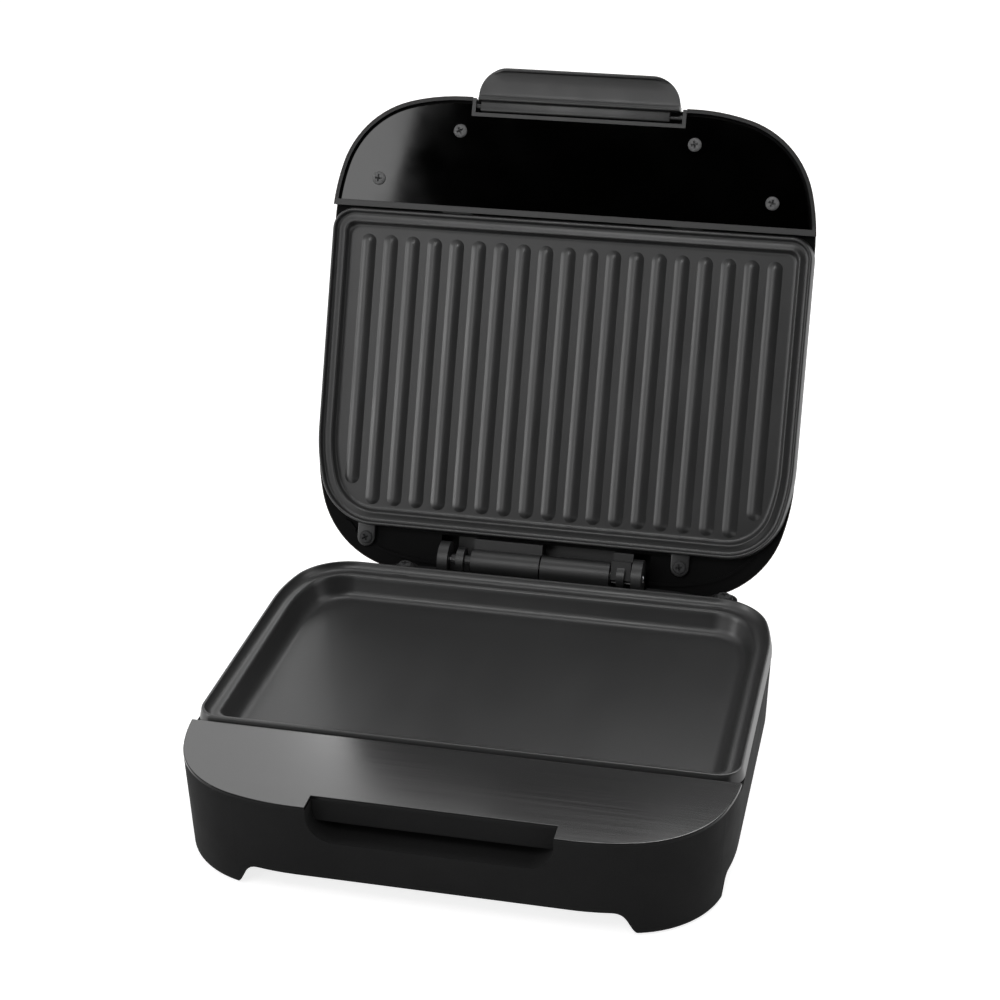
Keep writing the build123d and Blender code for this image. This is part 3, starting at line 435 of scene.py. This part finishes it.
# Geometry node trees and their baking
def geometry_tree(name, sizes):
    """Tree with a geometry, named lengths and a material in, and a geometry out."""
    tree = bpy.data.node_groups.new(name, "GeometryNodeTree")
    face = tree.interface
    face.new_socket("Geometry", in_out="INPUT", socket_type="NodeSocketGeometry")
    for label in sizes:
        face.new_socket(label, in_out="INPUT", socket_type="NodeSocketFloat")
    face.new_socket("Finish", in_out="INPUT", socket_type="NodeSocketMaterial")
    face.new_socket("Geometry", in_out="OUTPUT", socket_type="NodeSocketGeometry")
    source = tree.nodes.new("NodeGroupInput")
    sink = tree.nodes.new("NodeGroupOutput")

    def add(kind, inputs=None, **options):
        made = tree.nodes.new(kind)
        for option, value in options.items():
            setattr(made, option, value)
        for socket, value in (inputs or {}).items():
            links = value if isinstance(value, list) else [value]
            for item in links:
                if isinstance(item, bpy.types.NodeSocket):
                    tree.links.new(item, made.inputs[socket])
                else:
                    made.inputs[socket].default_value = item
        return made

    def math_node(operation, first, second):
        return add("ShaderNodeMath", {0: first, 1: second}, operation=operation).outputs[0]

    def vector(x, y, z):
        return add("ShaderNodeCombineXYZ", {"X": x, "Y": y, "Z": z}).outputs[0]

    return tree, source.outputs, sink.inputs[0], add, math_node, vector


def stored(add, name, kind):
    """Value that each point of the input carries under a name."""
    return add("GeometryNodeInputNamedAttribute", {"Name": name}, data_type=kind).outputs[0]


def screw_tree():
    """Low flat head with a cross recess on a shank, set on every point of the input."""
    sizes = (
        "Head radius", "Head height", "Shank radius", "Shank length",
        "Recess length", "Recess width", "Recess depth",
    )
    flatness = 3.5
    tree, given, result, add, calc, vector = geometry_tree("screw_set", sizes)
    ball = add("GeometryNodeMeshUVSphere", {"Segments": 40, "Rings": 24, "Radius": 1.0})
    x, y, z = add("ShaderNodeSeparateXYZ", {"Vector": add("GeometryNodeInputPosition").outputs[0]}).outputs
    out = calc("ADD", calc("MULTIPLY", x, x), calc("MULTIPLY", y, y))
    level = calc("SQRT", calc("MAXIMUM", calc("SUBTRACT", 1.0, calc("POWER", out, flatness)), 0.0), 0.0)
    flat = vector(x, y, calc("MULTIPLY", level, calc("SIGN", z, 0.0)))
    pressed = add("GeometryNodeSetPosition", {"Geometry": ball.outputs[0], "Position": flat})
    dome = add("GeometryNodeTransform", {
        "Geometry": pressed.outputs[0],
        "Scale": vector(given["Head radius"], given["Head radius"], given["Head height"]),
    })
    across = calc("MULTIPLY", given["Head radius"], 3.0)
    under = add("GeometryNodeMeshCube", {"Size": vector(across, across, across)})
    under = add("GeometryNodeTransform", {
        "Geometry": under.outputs[0],
        "Translation": vector(0.0, 0.0, calc("MULTIPLY", across, -0.5)),
    })
    slots = []
    for side, end in (("Recess length", "Recess width"), ("Recess width", "Recess length")):
        slot = add("GeometryNodeMeshCube", {
            "Size": vector(given[side], given[end], calc("MULTIPLY", given["Recess depth"], 2.0))
        })
        slot = add("GeometryNodeTransform", {
            "Geometry": slot.outputs[0], "Translation": vector(0.0, 0.0, given["Head height"]),
        })
        slots.append(slot.outputs[0])
    head = add(
        "GeometryNodeMeshBoolean",
        {"Mesh 1": dome.outputs[0], "Mesh 2": [under.outputs[0], *slots]}, operation="DIFFERENCE",
    )
    shank = add("GeometryNodeMeshCylinder", {
        "Vertices": 24, "Radius": given["Shank radius"], "Depth": given["Shank length"],
    })
    shank = add("GeometryNodeTransform", {
        "Geometry": shank.outputs[0],
        "Translation": vector(0.0, 0.0, calc("MULTIPLY", given["Shank length"], -0.5)),
    })
    whole = add("GeometryNodeJoinGeometry", {"Geometry": [head.outputs[0], shank.outputs[0]]})
    placed = add("GeometryNodeInstanceOnPoints", {
        "Points": given["Geometry"], "Instance": whole.outputs[0],
        "Rotation": stored(add, "turn", "FLOAT_VECTOR"),
    })
    solid = add("GeometryNodeRealizeInstances", {"Geometry": placed.outputs[0]})
    done = add("GeometryNodeSetMaterial", {"Geometry": solid.outputs[0], "Material": given["Finish"]})
    tree.links.new(done.outputs[0], result)
    return tree


def baked(name, holder, smooth=30.0):
    """Plain mesh of an object with its modifiers, in a new object at the origin."""
    view = bpy.context.evaluated_depsgraph_get()
    mesh = bpy.data.meshes.new_from_object(holder.evaluated_get(view), depsgraph=view)
    mesh.name = name
    bpy.data.objects.remove(holder)
    for face in mesh.polygons:
        face.use_smooth = True
    mesh.set_sharp_from_angle(angle=math.radians(smooth))
    made = bpy.data.objects.new(name, mesh)
    bpy.context.scene.collection.objects.link(made)
    return made


def point_cloud(name, places, **fields):
    """Loose vertices that carry named numbers or vectors, for a tree to set copies on."""
    mesh = bpy.data.meshes.new(name)
    mesh.from_pydata([tuple(place) for place in places], [], [])
    for field, values in fields.items():
        plain = isinstance(values[0], float)
        held = mesh.attributes.new(field, "FLOAT" if plain else "FLOAT_VECTOR", "POINT")
        for item, value in zip(held.data, values):
            setattr(item, "value" if plain else "vector", value)
    holder = bpy.data.objects.new(name, mesh)
    bpy.context.scene.collection.objects.link(holder)
    return holder


def add_modifier(holder, tree, values):
    """Geometry Nodes modifier whose inputs are set by their identifiers."""
    modifier = holder.modifiers.new(tree.name, "NODES")
    modifier.node_group = tree
    for item in tree.interface.items_tree:
        if item.in_out == "INPUT" and item.name in values:
            modifier[item.identifier] = values[item.name]


class SANDWICH_OT_screws(bpy.types.Operator):
    """Cross-head screws of the panel, the plates and the bottom cover"""

    bl_idname = "sandwich.screws"
    bl_label = "Screws"

    def execute(self, context):
        size = context.scene.sandwich_screws
        tree = screw_tree()
        values = {
            "Head radius": size.head_radius, "Head height": size.head_height,
            "Shank radius": size.shank_radius, "Recess length": size.recess_length,
            "Recess width": size.recess_width, "Recess depth": size.recess_depth,
        }
        zinc, dark = bpy.data.materials["zinc_screws"], bpy.data.materials["blacked_screws"]
        lid_tilt = math.pi - lid_opening
        long, short = size.shank_length, size.shank_length / 2
        first_spin, spin_step = 0.5, 1.3
        sides = (-1, 1)
        on_base = [plates_centre + Vector((x, y, -lug_face)) for x, y in lug_places]
        on_lid = [lid_place @ Vector((-x, y, lug_face)) for x, y in lug_places]
        on_cover = [
            Vector((side * cover_screw_x, plates_centre.y + end * cover_screw_y, cover_screw_height))
            for side in sides for end in sides
        ]
        on_panel = [
            lid_place @ Vector((side * x, y, panel_face)) for x, y in panel_screw_places for side in sides
        ]
        sets = (
            ("base_plate_screws", "lower_plate_screws", "base", on_base, 0.0, long, dark),
            ("cover_screw_set", "bottom_cover_screws", "base", on_cover, math.pi, short, dark),
            ("lid_plate_screws", "upper_plate_screws", "lid", on_lid, lid_tilt, long, dark),
            ("panel_screw_set", "panel_screws", "lid", on_panel, lid_tilt, long, zinc),
        )
        for name, replaced, body, places, tilt, shank, finish in sets:
            spins = [first_spin + spin_step * index for index in range(len(places))]
            turns = [
                (Matrix.Rotation(tilt, 3, "X") @ Matrix.Rotation(spin, 3, "Z")).to_euler() for spin in spins
            ]
            holder = point_cloud(name, places, turn=turns)
            add_modifier(holder, tree, {**values, "Shank length": shank, "Finish": finish})
            screws = baked(name, holder)
            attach(screws, body)
            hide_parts(replaced)
        return {"FINISHED"}


# Cooking plates: sections give the inset from the rim's outline and the height, in millimetres
rim_section = (
    (5.3, -6.0), (-0.7, -6.0), (-1.05, -5.9), (-1.2, -5.6), (-0.25, -0.9), (-0.05, -0.35), (0.12, -0.1),
    (0.4, 0.0), (0.85, 0.0), (1.1, -0.1), (1.25, -0.35),
)
pan_under = ((9.4, -17.2), (8.6, -17.1), (8.1, -16.6))
pan_section = (
    (1.45, -0.9), (1.85, -1.8), (2.4, -2.6), (3.1, -3.2), (3.9, -3.6), (4.8, -3.75), (5.8, -3.75),
    (6.8, -3.7), (7.5, -3.8), (8.0, -4.1), (8.4, -4.75), (8.9, -6.3), (10.6, -11.6), (11.2, -13.0),
    (12.1, -14.1), (13.3, -14.75), (14.7, -15.0), (16.0, -15.0),
)
ribbed_under = ((7.9, -8.2), (6.5, -8.1), (5.6, -7.4))
ribbed_section = (
    (1.35, -0.7), (1.5, -1.4), (1.75, -2.1), (2.1, -2.6), (2.6, -2.85), (3.2, -2.88), (3.9, -2.78),
    (4.6, -2.62), (5.2, -2.45), (5.7, -2.3), (6.1, -2.25), (6.4, -2.4), (6.7, -2.85), (7.1, -3.9),
    (7.5, -5.0), (7.9, -5.6), (8.4, -5.9), (9.0, -6.0), (9.8, -6.0),
)
lug_section = ((0.3, -6.0), (0.0, -5.7), (0.0, -4.1), (0.12, -3.75), (0.4, -3.55), (0.8, -3.5))
tongue_section = ((0.2, -6.0), (0.0, -5.8), (0.0, -5.0), (0.25, -4.75))


def arc(x, y, radius, start, end, steps):
    """Points of an arc, its angles in degrees from the x axis."""
    angles = [math.radians(start + (end - start) * index / steps) for index in range(steps + 1)]
    return [(x + radius * math.cos(turn), y + radius * math.sin(turn)) for turn in angles]


def plate_outline(size, inset):
    """Rim of a plate from above, set in evenly: small corners in front, eased ones behind."""
    x = size.width / 2 - inset
    y = size.depth / 2 - inset
    corner = max(size.front_radius - inset, size.pan_corner)
    ease, rear = size.ease_radius - inset, size.rear_radius - inset
    turn, sine, cosine = math.degrees(size.ease_angle), math.sin(size.ease_angle), math.cos(size.ease_angle)
    straight = size.depth / 2 - size.ease_radius * sine - size.rear_radius * (1 - sine)
    half = arc(x - corner, corner - y, corner, -90, 0, 12)
    half += arc(x - ease, straight, ease, 0, turn, 8)
    half += arc(x - ease + (ease - rear) * cosine, straight + (ease - rear) * sine, rear, turn, 90, 20)[1:]
    return half + [(-px, py) for px, py in reversed(half)]


def lug_outline(place, inset):
    """Tongue that ends in a half circle round its screw."""
    x, y = place
    radius = lug_radius - inset
    return [(x + radius, lug_root), *arc(x, y, radius, 0, 180, 24), (x - radius, lug_root)]


def tongue_outline(x, inset):
    """Small flat tongue under the front edge."""
    across, front = tongue_half_width - inset, tongue_front + inset
    return [(x - across, front), (x + across, front), (x + across, tongue_rear), (x - across, tongue_rear)]


def join_rings(shape, rings):
    """Joins rings of vertices one to the next, and closes both ends."""
    for low, high in zip(rings, rings[1:]):
        for index, vertex in enumerate(low):
            after = (index + 1) % len(low)
            shape.faces.new((vertex, low[after], high[after], high[index]))
    shape.faces.new(reversed(rings[0]))
    shape.faces.new(rings[-1])


def add_shell(shape, outline, section):
    """Closed wall along an outline; the section gives an inset and a height in millimetres."""
    join_rings(shape, [
        [shape.verts.new((x, y, height / 1000)) for x, y in outline(inset / 1000)]
        for inset, height in section
    ])


def plate_casting(size, under, inner):
    """A cast plate, food side up and rim at height zero, with its lugs and tongues."""
    shape = bmesh.new()
    add_shell(shape, lambda inset: plate_outline(size, inset), (*under, *rim_section, *inner))
    for place in lug_places:
        add_shell(shape, lambda inset: lug_outline(place, inset), lug_section)
    for x in tongue_places:
        add_shell(shape, lambda inset: tongue_outline(x, inset), tongue_section)
    return shape


def rib_tree():
    """Round-topped ribs with soft flanks and ends, one on every point of the input."""
    roundness, foot_depth = 1.25, 0.02
    tree, given, result, add, calc, vector = geometry_tree("rib_field", ("Rib width", "Rib height"))
    patch = add("GeometryNodeMeshGrid", {"Size X": 2.0, "Size Y": 2.0, "Vertices X": 17, "Vertices Y": 61})
    where = add("GeometryNodeInputPosition").outputs[0]
    marked = add(
        "GeometryNodeStoreNamedAttribute",
        {"Geometry": patch.outputs[0], "Name": "patch", "Value": where},
        data_type="FLOAT_VECTOR", domain="POINT",
    )
    laid = add("GeometryNodeInstanceOnPoints", {"Points": given["Geometry"], "Instance": marked.outputs[0]})
    solid = add("GeometryNodeRealizeInstances", {"Geometry": laid.outputs[0]})
    spot = stored(add, "patch", "FLOAT_VECTOR")
    across, along, _ = add("ShaderNodeSeparateXYZ", {"Vector": spot}).outputs
    straight = stored(add, "straight", "FLOAT")
    half = calc("MULTIPLY", given["Rib width"], 0.5)
    x = calc("MULTIPLY", calc("SINE", calc("MULTIPLY", across, math.pi / 2), 0.0), half)
    spare = calc("SUBTRACT", calc("MULTIPLY", half, half), calc("MULTIPLY", x, x))
    round_end = calc("SQRT", calc("MAXIMUM", spare, 0.0), 0.0)
    reach = calc("ADD", straight, round_end)
    y = calc("MULTIPLY", calc("SINE", calc("MULTIPLY", along, math.pi / 2), 0.0), reach)
    past = calc("MAXIMUM", calc("SUBTRACT", calc("ABSOLUTE", y, 0.0), straight), 0.0)
    out = calc("SQRT", calc("ADD", calc("MULTIPLY", x, x), calc("MULTIPLY", past, past)), 0.0)
    bow = calc("SUBTRACT", 1.0, calc("POWER", calc("DIVIDE", out, half), 2.0))
    curve = calc("POWER", calc("MAXIMUM", bow, 0.0), roundness)
    rise = calc("SUBTRACT", calc("MULTIPLY", curve, 1.0 + foot_depth), foot_depth)
    base = add("ShaderNodeVectorMath", {0: where, 1: spot}, operation="SUBTRACT").outputs[0]
    lift = vector(
        x, calc("ADD", stored(add, "middle", "FLOAT"), y),
        calc("MULTIPLY", rise, given["Rib height"]),
    )
    moved = add("ShaderNodeVectorMath", {0: base, 1: lift}, operation="ADD").outputs[0]
    bent = add("GeometryNodeSetPosition", {"Geometry": solid.outputs[0], "Position": moved})
    done = add("GeometryNodeSetMaterial", {"Geometry": bent.outputs[0], "Material": given["Finish"]})
    tree.links.new(done.outputs[0], result)
    return tree


def finished(name, shape, place, material, smooth=35.0):
    """Object at the origin from a shape that is moved to its place."""
    mesh = bpy.data.meshes.new(name)
    shape.to_mesh(mesh)
    shape.free()
    mesh.transform(place)
    mesh.materials.append(material)
    for face in mesh.polygons:
        face.use_smooth = True
    mesh.set_sharp_from_angle(angle=math.radians(smooth))
    made = bpy.data.objects.new(name, mesh)
    bpy.context.scene.collection.objects.link(made)
    return made


class SANDWICH_OT_plates(bpy.types.Operator):
    """Cast cooking plates: the deep lower pan and the ribbed upper plate"""

    bl_idname = "sandwich.plates"
    bl_label = "Cooking plates"

    def execute(self, context):
        size = context.scene.sandwich_plates
        coat = bpy.data.materials["non_stick"]
        pan = plate_casting(size, pan_under, pan_section)
        lower = finished("pan_casting", pan, Matrix.Translation(plates_centre), coat)
        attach(lower, "base")
        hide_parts("lower_plate")

        places, straights, middles = [], [], []
        for index in range(size.rib_count):
            outer = index in (0, size.rib_count - 1)
            rear = size.outer_rib_rear if outer else size.rib_rear
            places.append(((index - (size.rib_count - 1) / 2) * size.rib_pitch, 0.0, rib_floor))
            straights.append((size.rib_front + rear - size.rib_width) / 2)
            middles.append((rear - size.rib_front) / 2)
        holder = point_cloud("rib_field", places, straight=straights, middle=middles)
        values = {"Rib width": size.rib_width, "Rib height": size.rib_height, "Finish": coat}
        add_modifier(holder, rib_tree(), values)
        ribs = baked("rib_field", holder)
        ribbed = plate_casting(size, ribbed_under, ribbed_section)
        ribbed.from_mesh(ribs.data)
        bpy.data.objects.remove(ribs)
        upper = finished("ribbed_casting", ribbed, lid_place @ Matrix.Rotation(math.pi, 4, "Y"), coat)
        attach(upper, "lid")
        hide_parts("upper_plate")
        return {"FINISHED"}


# Latch lever: sections give the reach from the pivot and the rise above it, in millimetres
hook_reach = 17.0
hook_root_rise = -3.9
paddle_section = (
    (19.8, -2.3), (19.8, -5.8), (19.6, -6.25), (19.2, -6.4), (18.7, -6.4), (18.35, -6.2), (18.2, -5.8),
    (18.15, -4.6), (17.8, -4.1), (17.1, -3.9), (12.0, -3.9), (7.4, -3.9), (6.3, -3.96), (5.5, -4.12),
    (4.8, -4.42), (4.3, -4.78), (3.95, -4.92), (3.6, -4.96), (3.25, -4.85), (3.05, -4.55), (3.0, -4.1),
    (3.0, -1.2), (2.6, 0.8), (3.0, 2.9), (7.0, 2.25), (11.0, 1.15), (15.5, -0.55),
)
bar_section = (
    (3.3, -1.2), (3.2, -2.0), (2.7, -2.35), (1.9, -2.4), (1.0, -2.5), (0.1, -2.6), (-0.8, -2.8),
    (-1.4, -2.98), (-1.8, -3.0), (-2.1, -2.85), (-2.3, -2.5), (-2.5, -1.9), (-2.9, -0.8), (-2.9, 0.6),
    (-2.2, 2.05), (-1.1, 2.8), (0.0, 3.0), (3.2, 2.8),
)


def lever_part(shape, section, stations):
    """Closed bar through stations: side place, root reach, scale past the root, shrink, hook depth."""
    rings = []
    for x, root, scale, shrink, hook in stations:
        ring = []
        for reach, rise in section:
            if reach > hook_reach and rise < hook_root_rise:
                rise = hook_root_rise + (rise - hook_root_rise) * hook
            if reach > root:
                reach = root + (reach - root) * scale
            y = latch_pivot_y - reach * shrink / 1000
            ring.append(shape.verts.new((x, y, latch_pivot_rise + rise * shrink / 1000)))
        rings.append(ring)
    join_rings(shape, rings)


class SANDWICH_OT_lever(bpy.types.Operator):
    """Latch lever: a paddle with a lipped root and a hook, and the bar that turns on the pivot"""

    bl_idname = "sandwich.lever"
    bl_label = "Latch lever"

    def paddle_stations(self, size):
        """Round the corners the paddle gets shorter and its hook fades out."""
        corner_steps, last_turn, hook_fade = 12, 89.3, 0.0016
        turns = [index * 90 / corner_steps for index in range(corner_steps)] + [last_turn]
        root = (size.reach - size.corner) * 1000
        ends = []
        for turn in map(math.radians, turns):
            x = size.width / 2 - size.corner + size.corner * math.sin(turn)
            out = size.corner * math.cos(turn)
            ends.append((x, root, out / size.corner, 1.0, max(0.0, 1 - (size.corner - out) / hook_fade)))
        return [(-x, *rest) for x, *rest in reversed(ends)] + ends

    def bar_stations(self, size):
        """The bar is bevelled at both ends."""
        bevel_shrink = 0.93
        low = size.bar_offset - size.bar_width / 2
        high = size.bar_offset + size.bar_width / 2
        edge = size.bar_edge
        steps = ((low, bevel_shrink), (low + edge, 1.0), (high - edge, 1.0), (high, bevel_shrink))
        return [(x, 0.0, 1.0, shrink, 1.0) for x, shrink in steps]

    def execute(self, context):
        size = context.scene.sandwich_lever
        shape = bmesh.new()
        lever_part(shape, paddle_section, self.paddle_stations(size))
        lever_part(shape, bar_section, self.bar_stations(size))
        bmesh.ops.recalc_face_normals(shape, faces=shape.faces)
        lever = finished("latch_lever", shape, lid_place, bpy.data.materials["handle_moulding"])
        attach(lever, "handle")
        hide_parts("latch_handle")
        return {"FINISHED"}


# Stage
white = (1.0, 1.0, 1.0, 1.0)


def look_from(location, target):
    """Matrix of a lamp or card at a place, turned to face a target."""
    away = Vector(location) - Vector(target)
    return Matrix.Translation(location) @ away.to_track_quat("Z", "Y").to_matrix().to_4x4()


def soft_light(name, location, target, size, power):
    """Rectangular lamp turned to face a target."""
    lamp = bpy.data.lights.new(name, "AREA")
    lamp.shape = "RECTANGLE"
    lamp.size, lamp.size_y = size
    lamp.energy = power
    made = bpy.data.objects.new(name, lamp)
    made.matrix_world = look_from(location, target)
    bpy.context.scene.collection.objects.link(made)
    return made


def dark_card(name, location, target, size):
    """Black card that only reflections see, as a studio sets beside glossy things."""
    x, y = size[0] / 2, size[1] / 2
    mesh = bpy.data.meshes.new(name)
    mesh.from_pydata([(-x, -y, 0), (x, -y, 0), (x, y, 0), (-x, y, 0)], [], [(0, 1, 2, 3)])
    mesh.materials.append(Finish(name, (0.003, 0.003, 0.003), 1.0, Specular_IOR_Level=0.0).material)
    card = bpy.data.objects.new(name, mesh)
    card.matrix_world = look_from(location, target)
    card.visible_camera = False
    card.visible_diffuse = False
    card.visible_shadow = False
    bpy.context.scene.collection.objects.link(card)


def seen_ray(tree):
    """One where a ray comes from the camera, a reflection or clear material, else zero."""
    path = tree.nodes.new("ShaderNodeLightPath")
    total = path.outputs["Is Camera Ray"]
    for kind in ("Is Glossy Ray", "Is Transmission Ray"):
        most = tree.nodes.new("ShaderNodeMath")
        most.operation = "MAXIMUM"
        tree.links.new(total, most.inputs[0])
        tree.links.new(path.outputs[kind], most.inputs[1])
        total = most.outputs[0]
    return total


def white_world(fill):
    """White to the camera and to reflections, and a dimmer even light for the rest."""
    world = bpy.data.worlds.new("studio")
    world.use_nodes = True
    tree = world.node_tree
    even = tree.nodes["Background"]
    even.inputs["Color"].default_value = white
    even.inputs["Strength"].default_value = fill
    bright = tree.nodes.new("ShaderNodeBackground")
    bright.inputs["Color"].default_value = white
    mix = tree.nodes.new("ShaderNodeMixShader")
    tree.links.new(seen_ray(tree), mix.inputs[0])
    tree.links.new(even.outputs[0], mix.inputs[1])
    tree.links.new(bright.outputs[0], mix.inputs[2])
    tree.links.new(mix.outputs[0], tree.nodes["World Output"].inputs[0])
    return world


def pale_floor():
    """Large floor, lifted to white but for the soft shadow under the part."""
    reach, lift = 5.0, 0.80
    corners = [(-reach, -reach, 0), (reach, -reach, 0), (reach, reach, 0), (-reach, reach, 0)]
    mesh = bpy.data.meshes.new("floor")
    mesh.from_pydata(corners, [], [(0, 1, 2, 3)])
    pale = Finish("pale_floor", (0.60, 0.60, 0.60), 0.9, Specular_IOR_Level=0.1)
    pale.shader.inputs["Emission Color"].default_value = white
    glow = pale.node("ShaderNodeMath", {0: seen_ray(pale.tree), 1: lift}, operation="MULTIPLY")
    pale.tree.links.new(glow.outputs[0], pale.shader.inputs["Emission Strength"])
    mesh.materials.append(pale.material)
    floor = bpy.data.objects.new("floor", mesh)
    bpy.context.scene.collection.objects.link(floor)
    return floor


def studio_lamps(stage):
    """Soft lights, and the dark cards that polished and satin faces reflect."""
    middle = (0.0, 0.0, 0.1)
    key = soft_light("key", (-0.15, -0.85, 1.15), (0.03, 0.10, 0.20), (0.5, 0.5), stage.key)
    key.data.spread = math.radians(60)
    soft_light("side", (1.7, 0.2, 1.0), middle, (1.0, 1.0), stage.side)
    soft_light("top", (0.1, 0.25, 1.60), middle, (0.9, 0.2), stage.top)
    soft_light("back", (0.35, 1.00, 1.50), (0.0, -0.1, 0.04), (1.0, 0.5), stage.back)
    soft_light("strip", (-1.30, -0.50, 0.30), (0.0, 0.11, 0.17), (0.10, 0.9), stage.strip)
    soft_light("front", (-0.95, -1.9, 1.05), middle, (0.5, 0.9), stage.front)
    soft_light("glow", (-0.402, 1.255, 0.74), (-0.09, -0.155, 0.0525), (0.22, 0.30), stage.glow)
    dark_card("front_card", (0.3, -2.6, 1.1), middle, (3.2, 2.0))
    dark_card("right_card", (2.3, -1.3, 1.0), middle, (2.4, 2.2))
    dark_card("top_card", (0.4, -1.4, 2.7), middle, (3.4, 2.4))


def studio_camera(stage):
    """Camera that looks at the plates from a distance, turned, raised and rolled."""
    camera = bpy.data.cameras.new("camera")
    camera.sensor_width = 36.0
    camera.lens = stage.lens
    camera.clip_start, camera.clip_end = 0.05, 50.0
    turn = Matrix.Rotation(stage.azimuth, 3, "Z") @ Matrix.Rotation(math.pi / 2 - stage.elevation, 3, "X")
    turn = turn @ Matrix.Rotation(stage.roll, 3, "Z")
    place = plates_centre + turn @ Vector((stage.side_aim, stage.high_aim, stage.distance))
    eye = bpy.data.objects.new("camera", camera)
    eye.matrix_world = Matrix.Translation(place) @ turn.to_4x4()
    bpy.context.scene.collection.objects.link(eye)
    return eye


class SANDWICH_OT_stage(bpy.types.Operator):
    """Pale floor, white surroundings, soft lights and the camera"""

    bl_idname = "sandwich.stage"
    bl_label = "Stage"

    def execute(self, context):
        scene = context.scene
        stage = scene.sandwich_stage
        scene.view_settings.view_transform = "Standard"
        scene.world = white_world(stage.fill)
        ground = pale_floor()
        studio_lamps(stage)
        scene.camera = studio_camera(stage)
        return {"FINISHED"}


class SANDWICH_PT_looks(bpy.types.Panel):
    """Steps that dress the frame"""

    bl_idname = "SANDWICH_PT_looks"
    bl_label = "Sandwich maker"
    bl_space_type = "VIEW_3D"
    bl_region_type = "UI"
    bl_category = "Sandwich maker"

    def draw(self, context):
        for step in STEPS:
            self.layout.operator(step.bl_idname)
        for group in SETTINGS:
            settings = getattr(context.scene, group)
            for name in settings.bl_rna.properties.keys():
                if name not in {"rna_type", "name"}:
                    self.layout.prop(settings, name)


STEPS = (
    SANDWICH_OT_finish_frame, SANDWICH_OT_plates, SANDWICH_OT_screws, SANDWICH_OT_lever, SANDWICH_OT_stage,
)
SETTINGS = {
    "sandwich_finish": FinishSettings, "sandwich_plates": PlateSettings,
    "sandwich_screws": ScrewSettings, "sandwich_lever": LeverSettings, "sandwich_stage": StageSettings,
}


def register():
    for item in (*SETTINGS.values(), *STEPS, SANDWICH_PT_looks):
        bpy.utils.register_class(item)
    for name, group in SETTINGS.items():
        setattr(bpy.types.Scene, name, PointerProperty(type=group))


def unregister():
    for name in SETTINGS:
        delattr(bpy.types.Scene, name)
    for item in (SANDWICH_PT_looks, *reversed(STEPS), *SETTINGS.values()):
        bpy.utils.unregister_class(item)


def main():
    register()
    bpy.ops.sandwich.finish_frame()
    bpy.ops.sandwich.plates()
    bpy.ops.sandwich.screws()
    bpy.ops.sandwich.lever()
    bpy.ops.sandwich.stage()


if __name__ == "__main__":
    main()
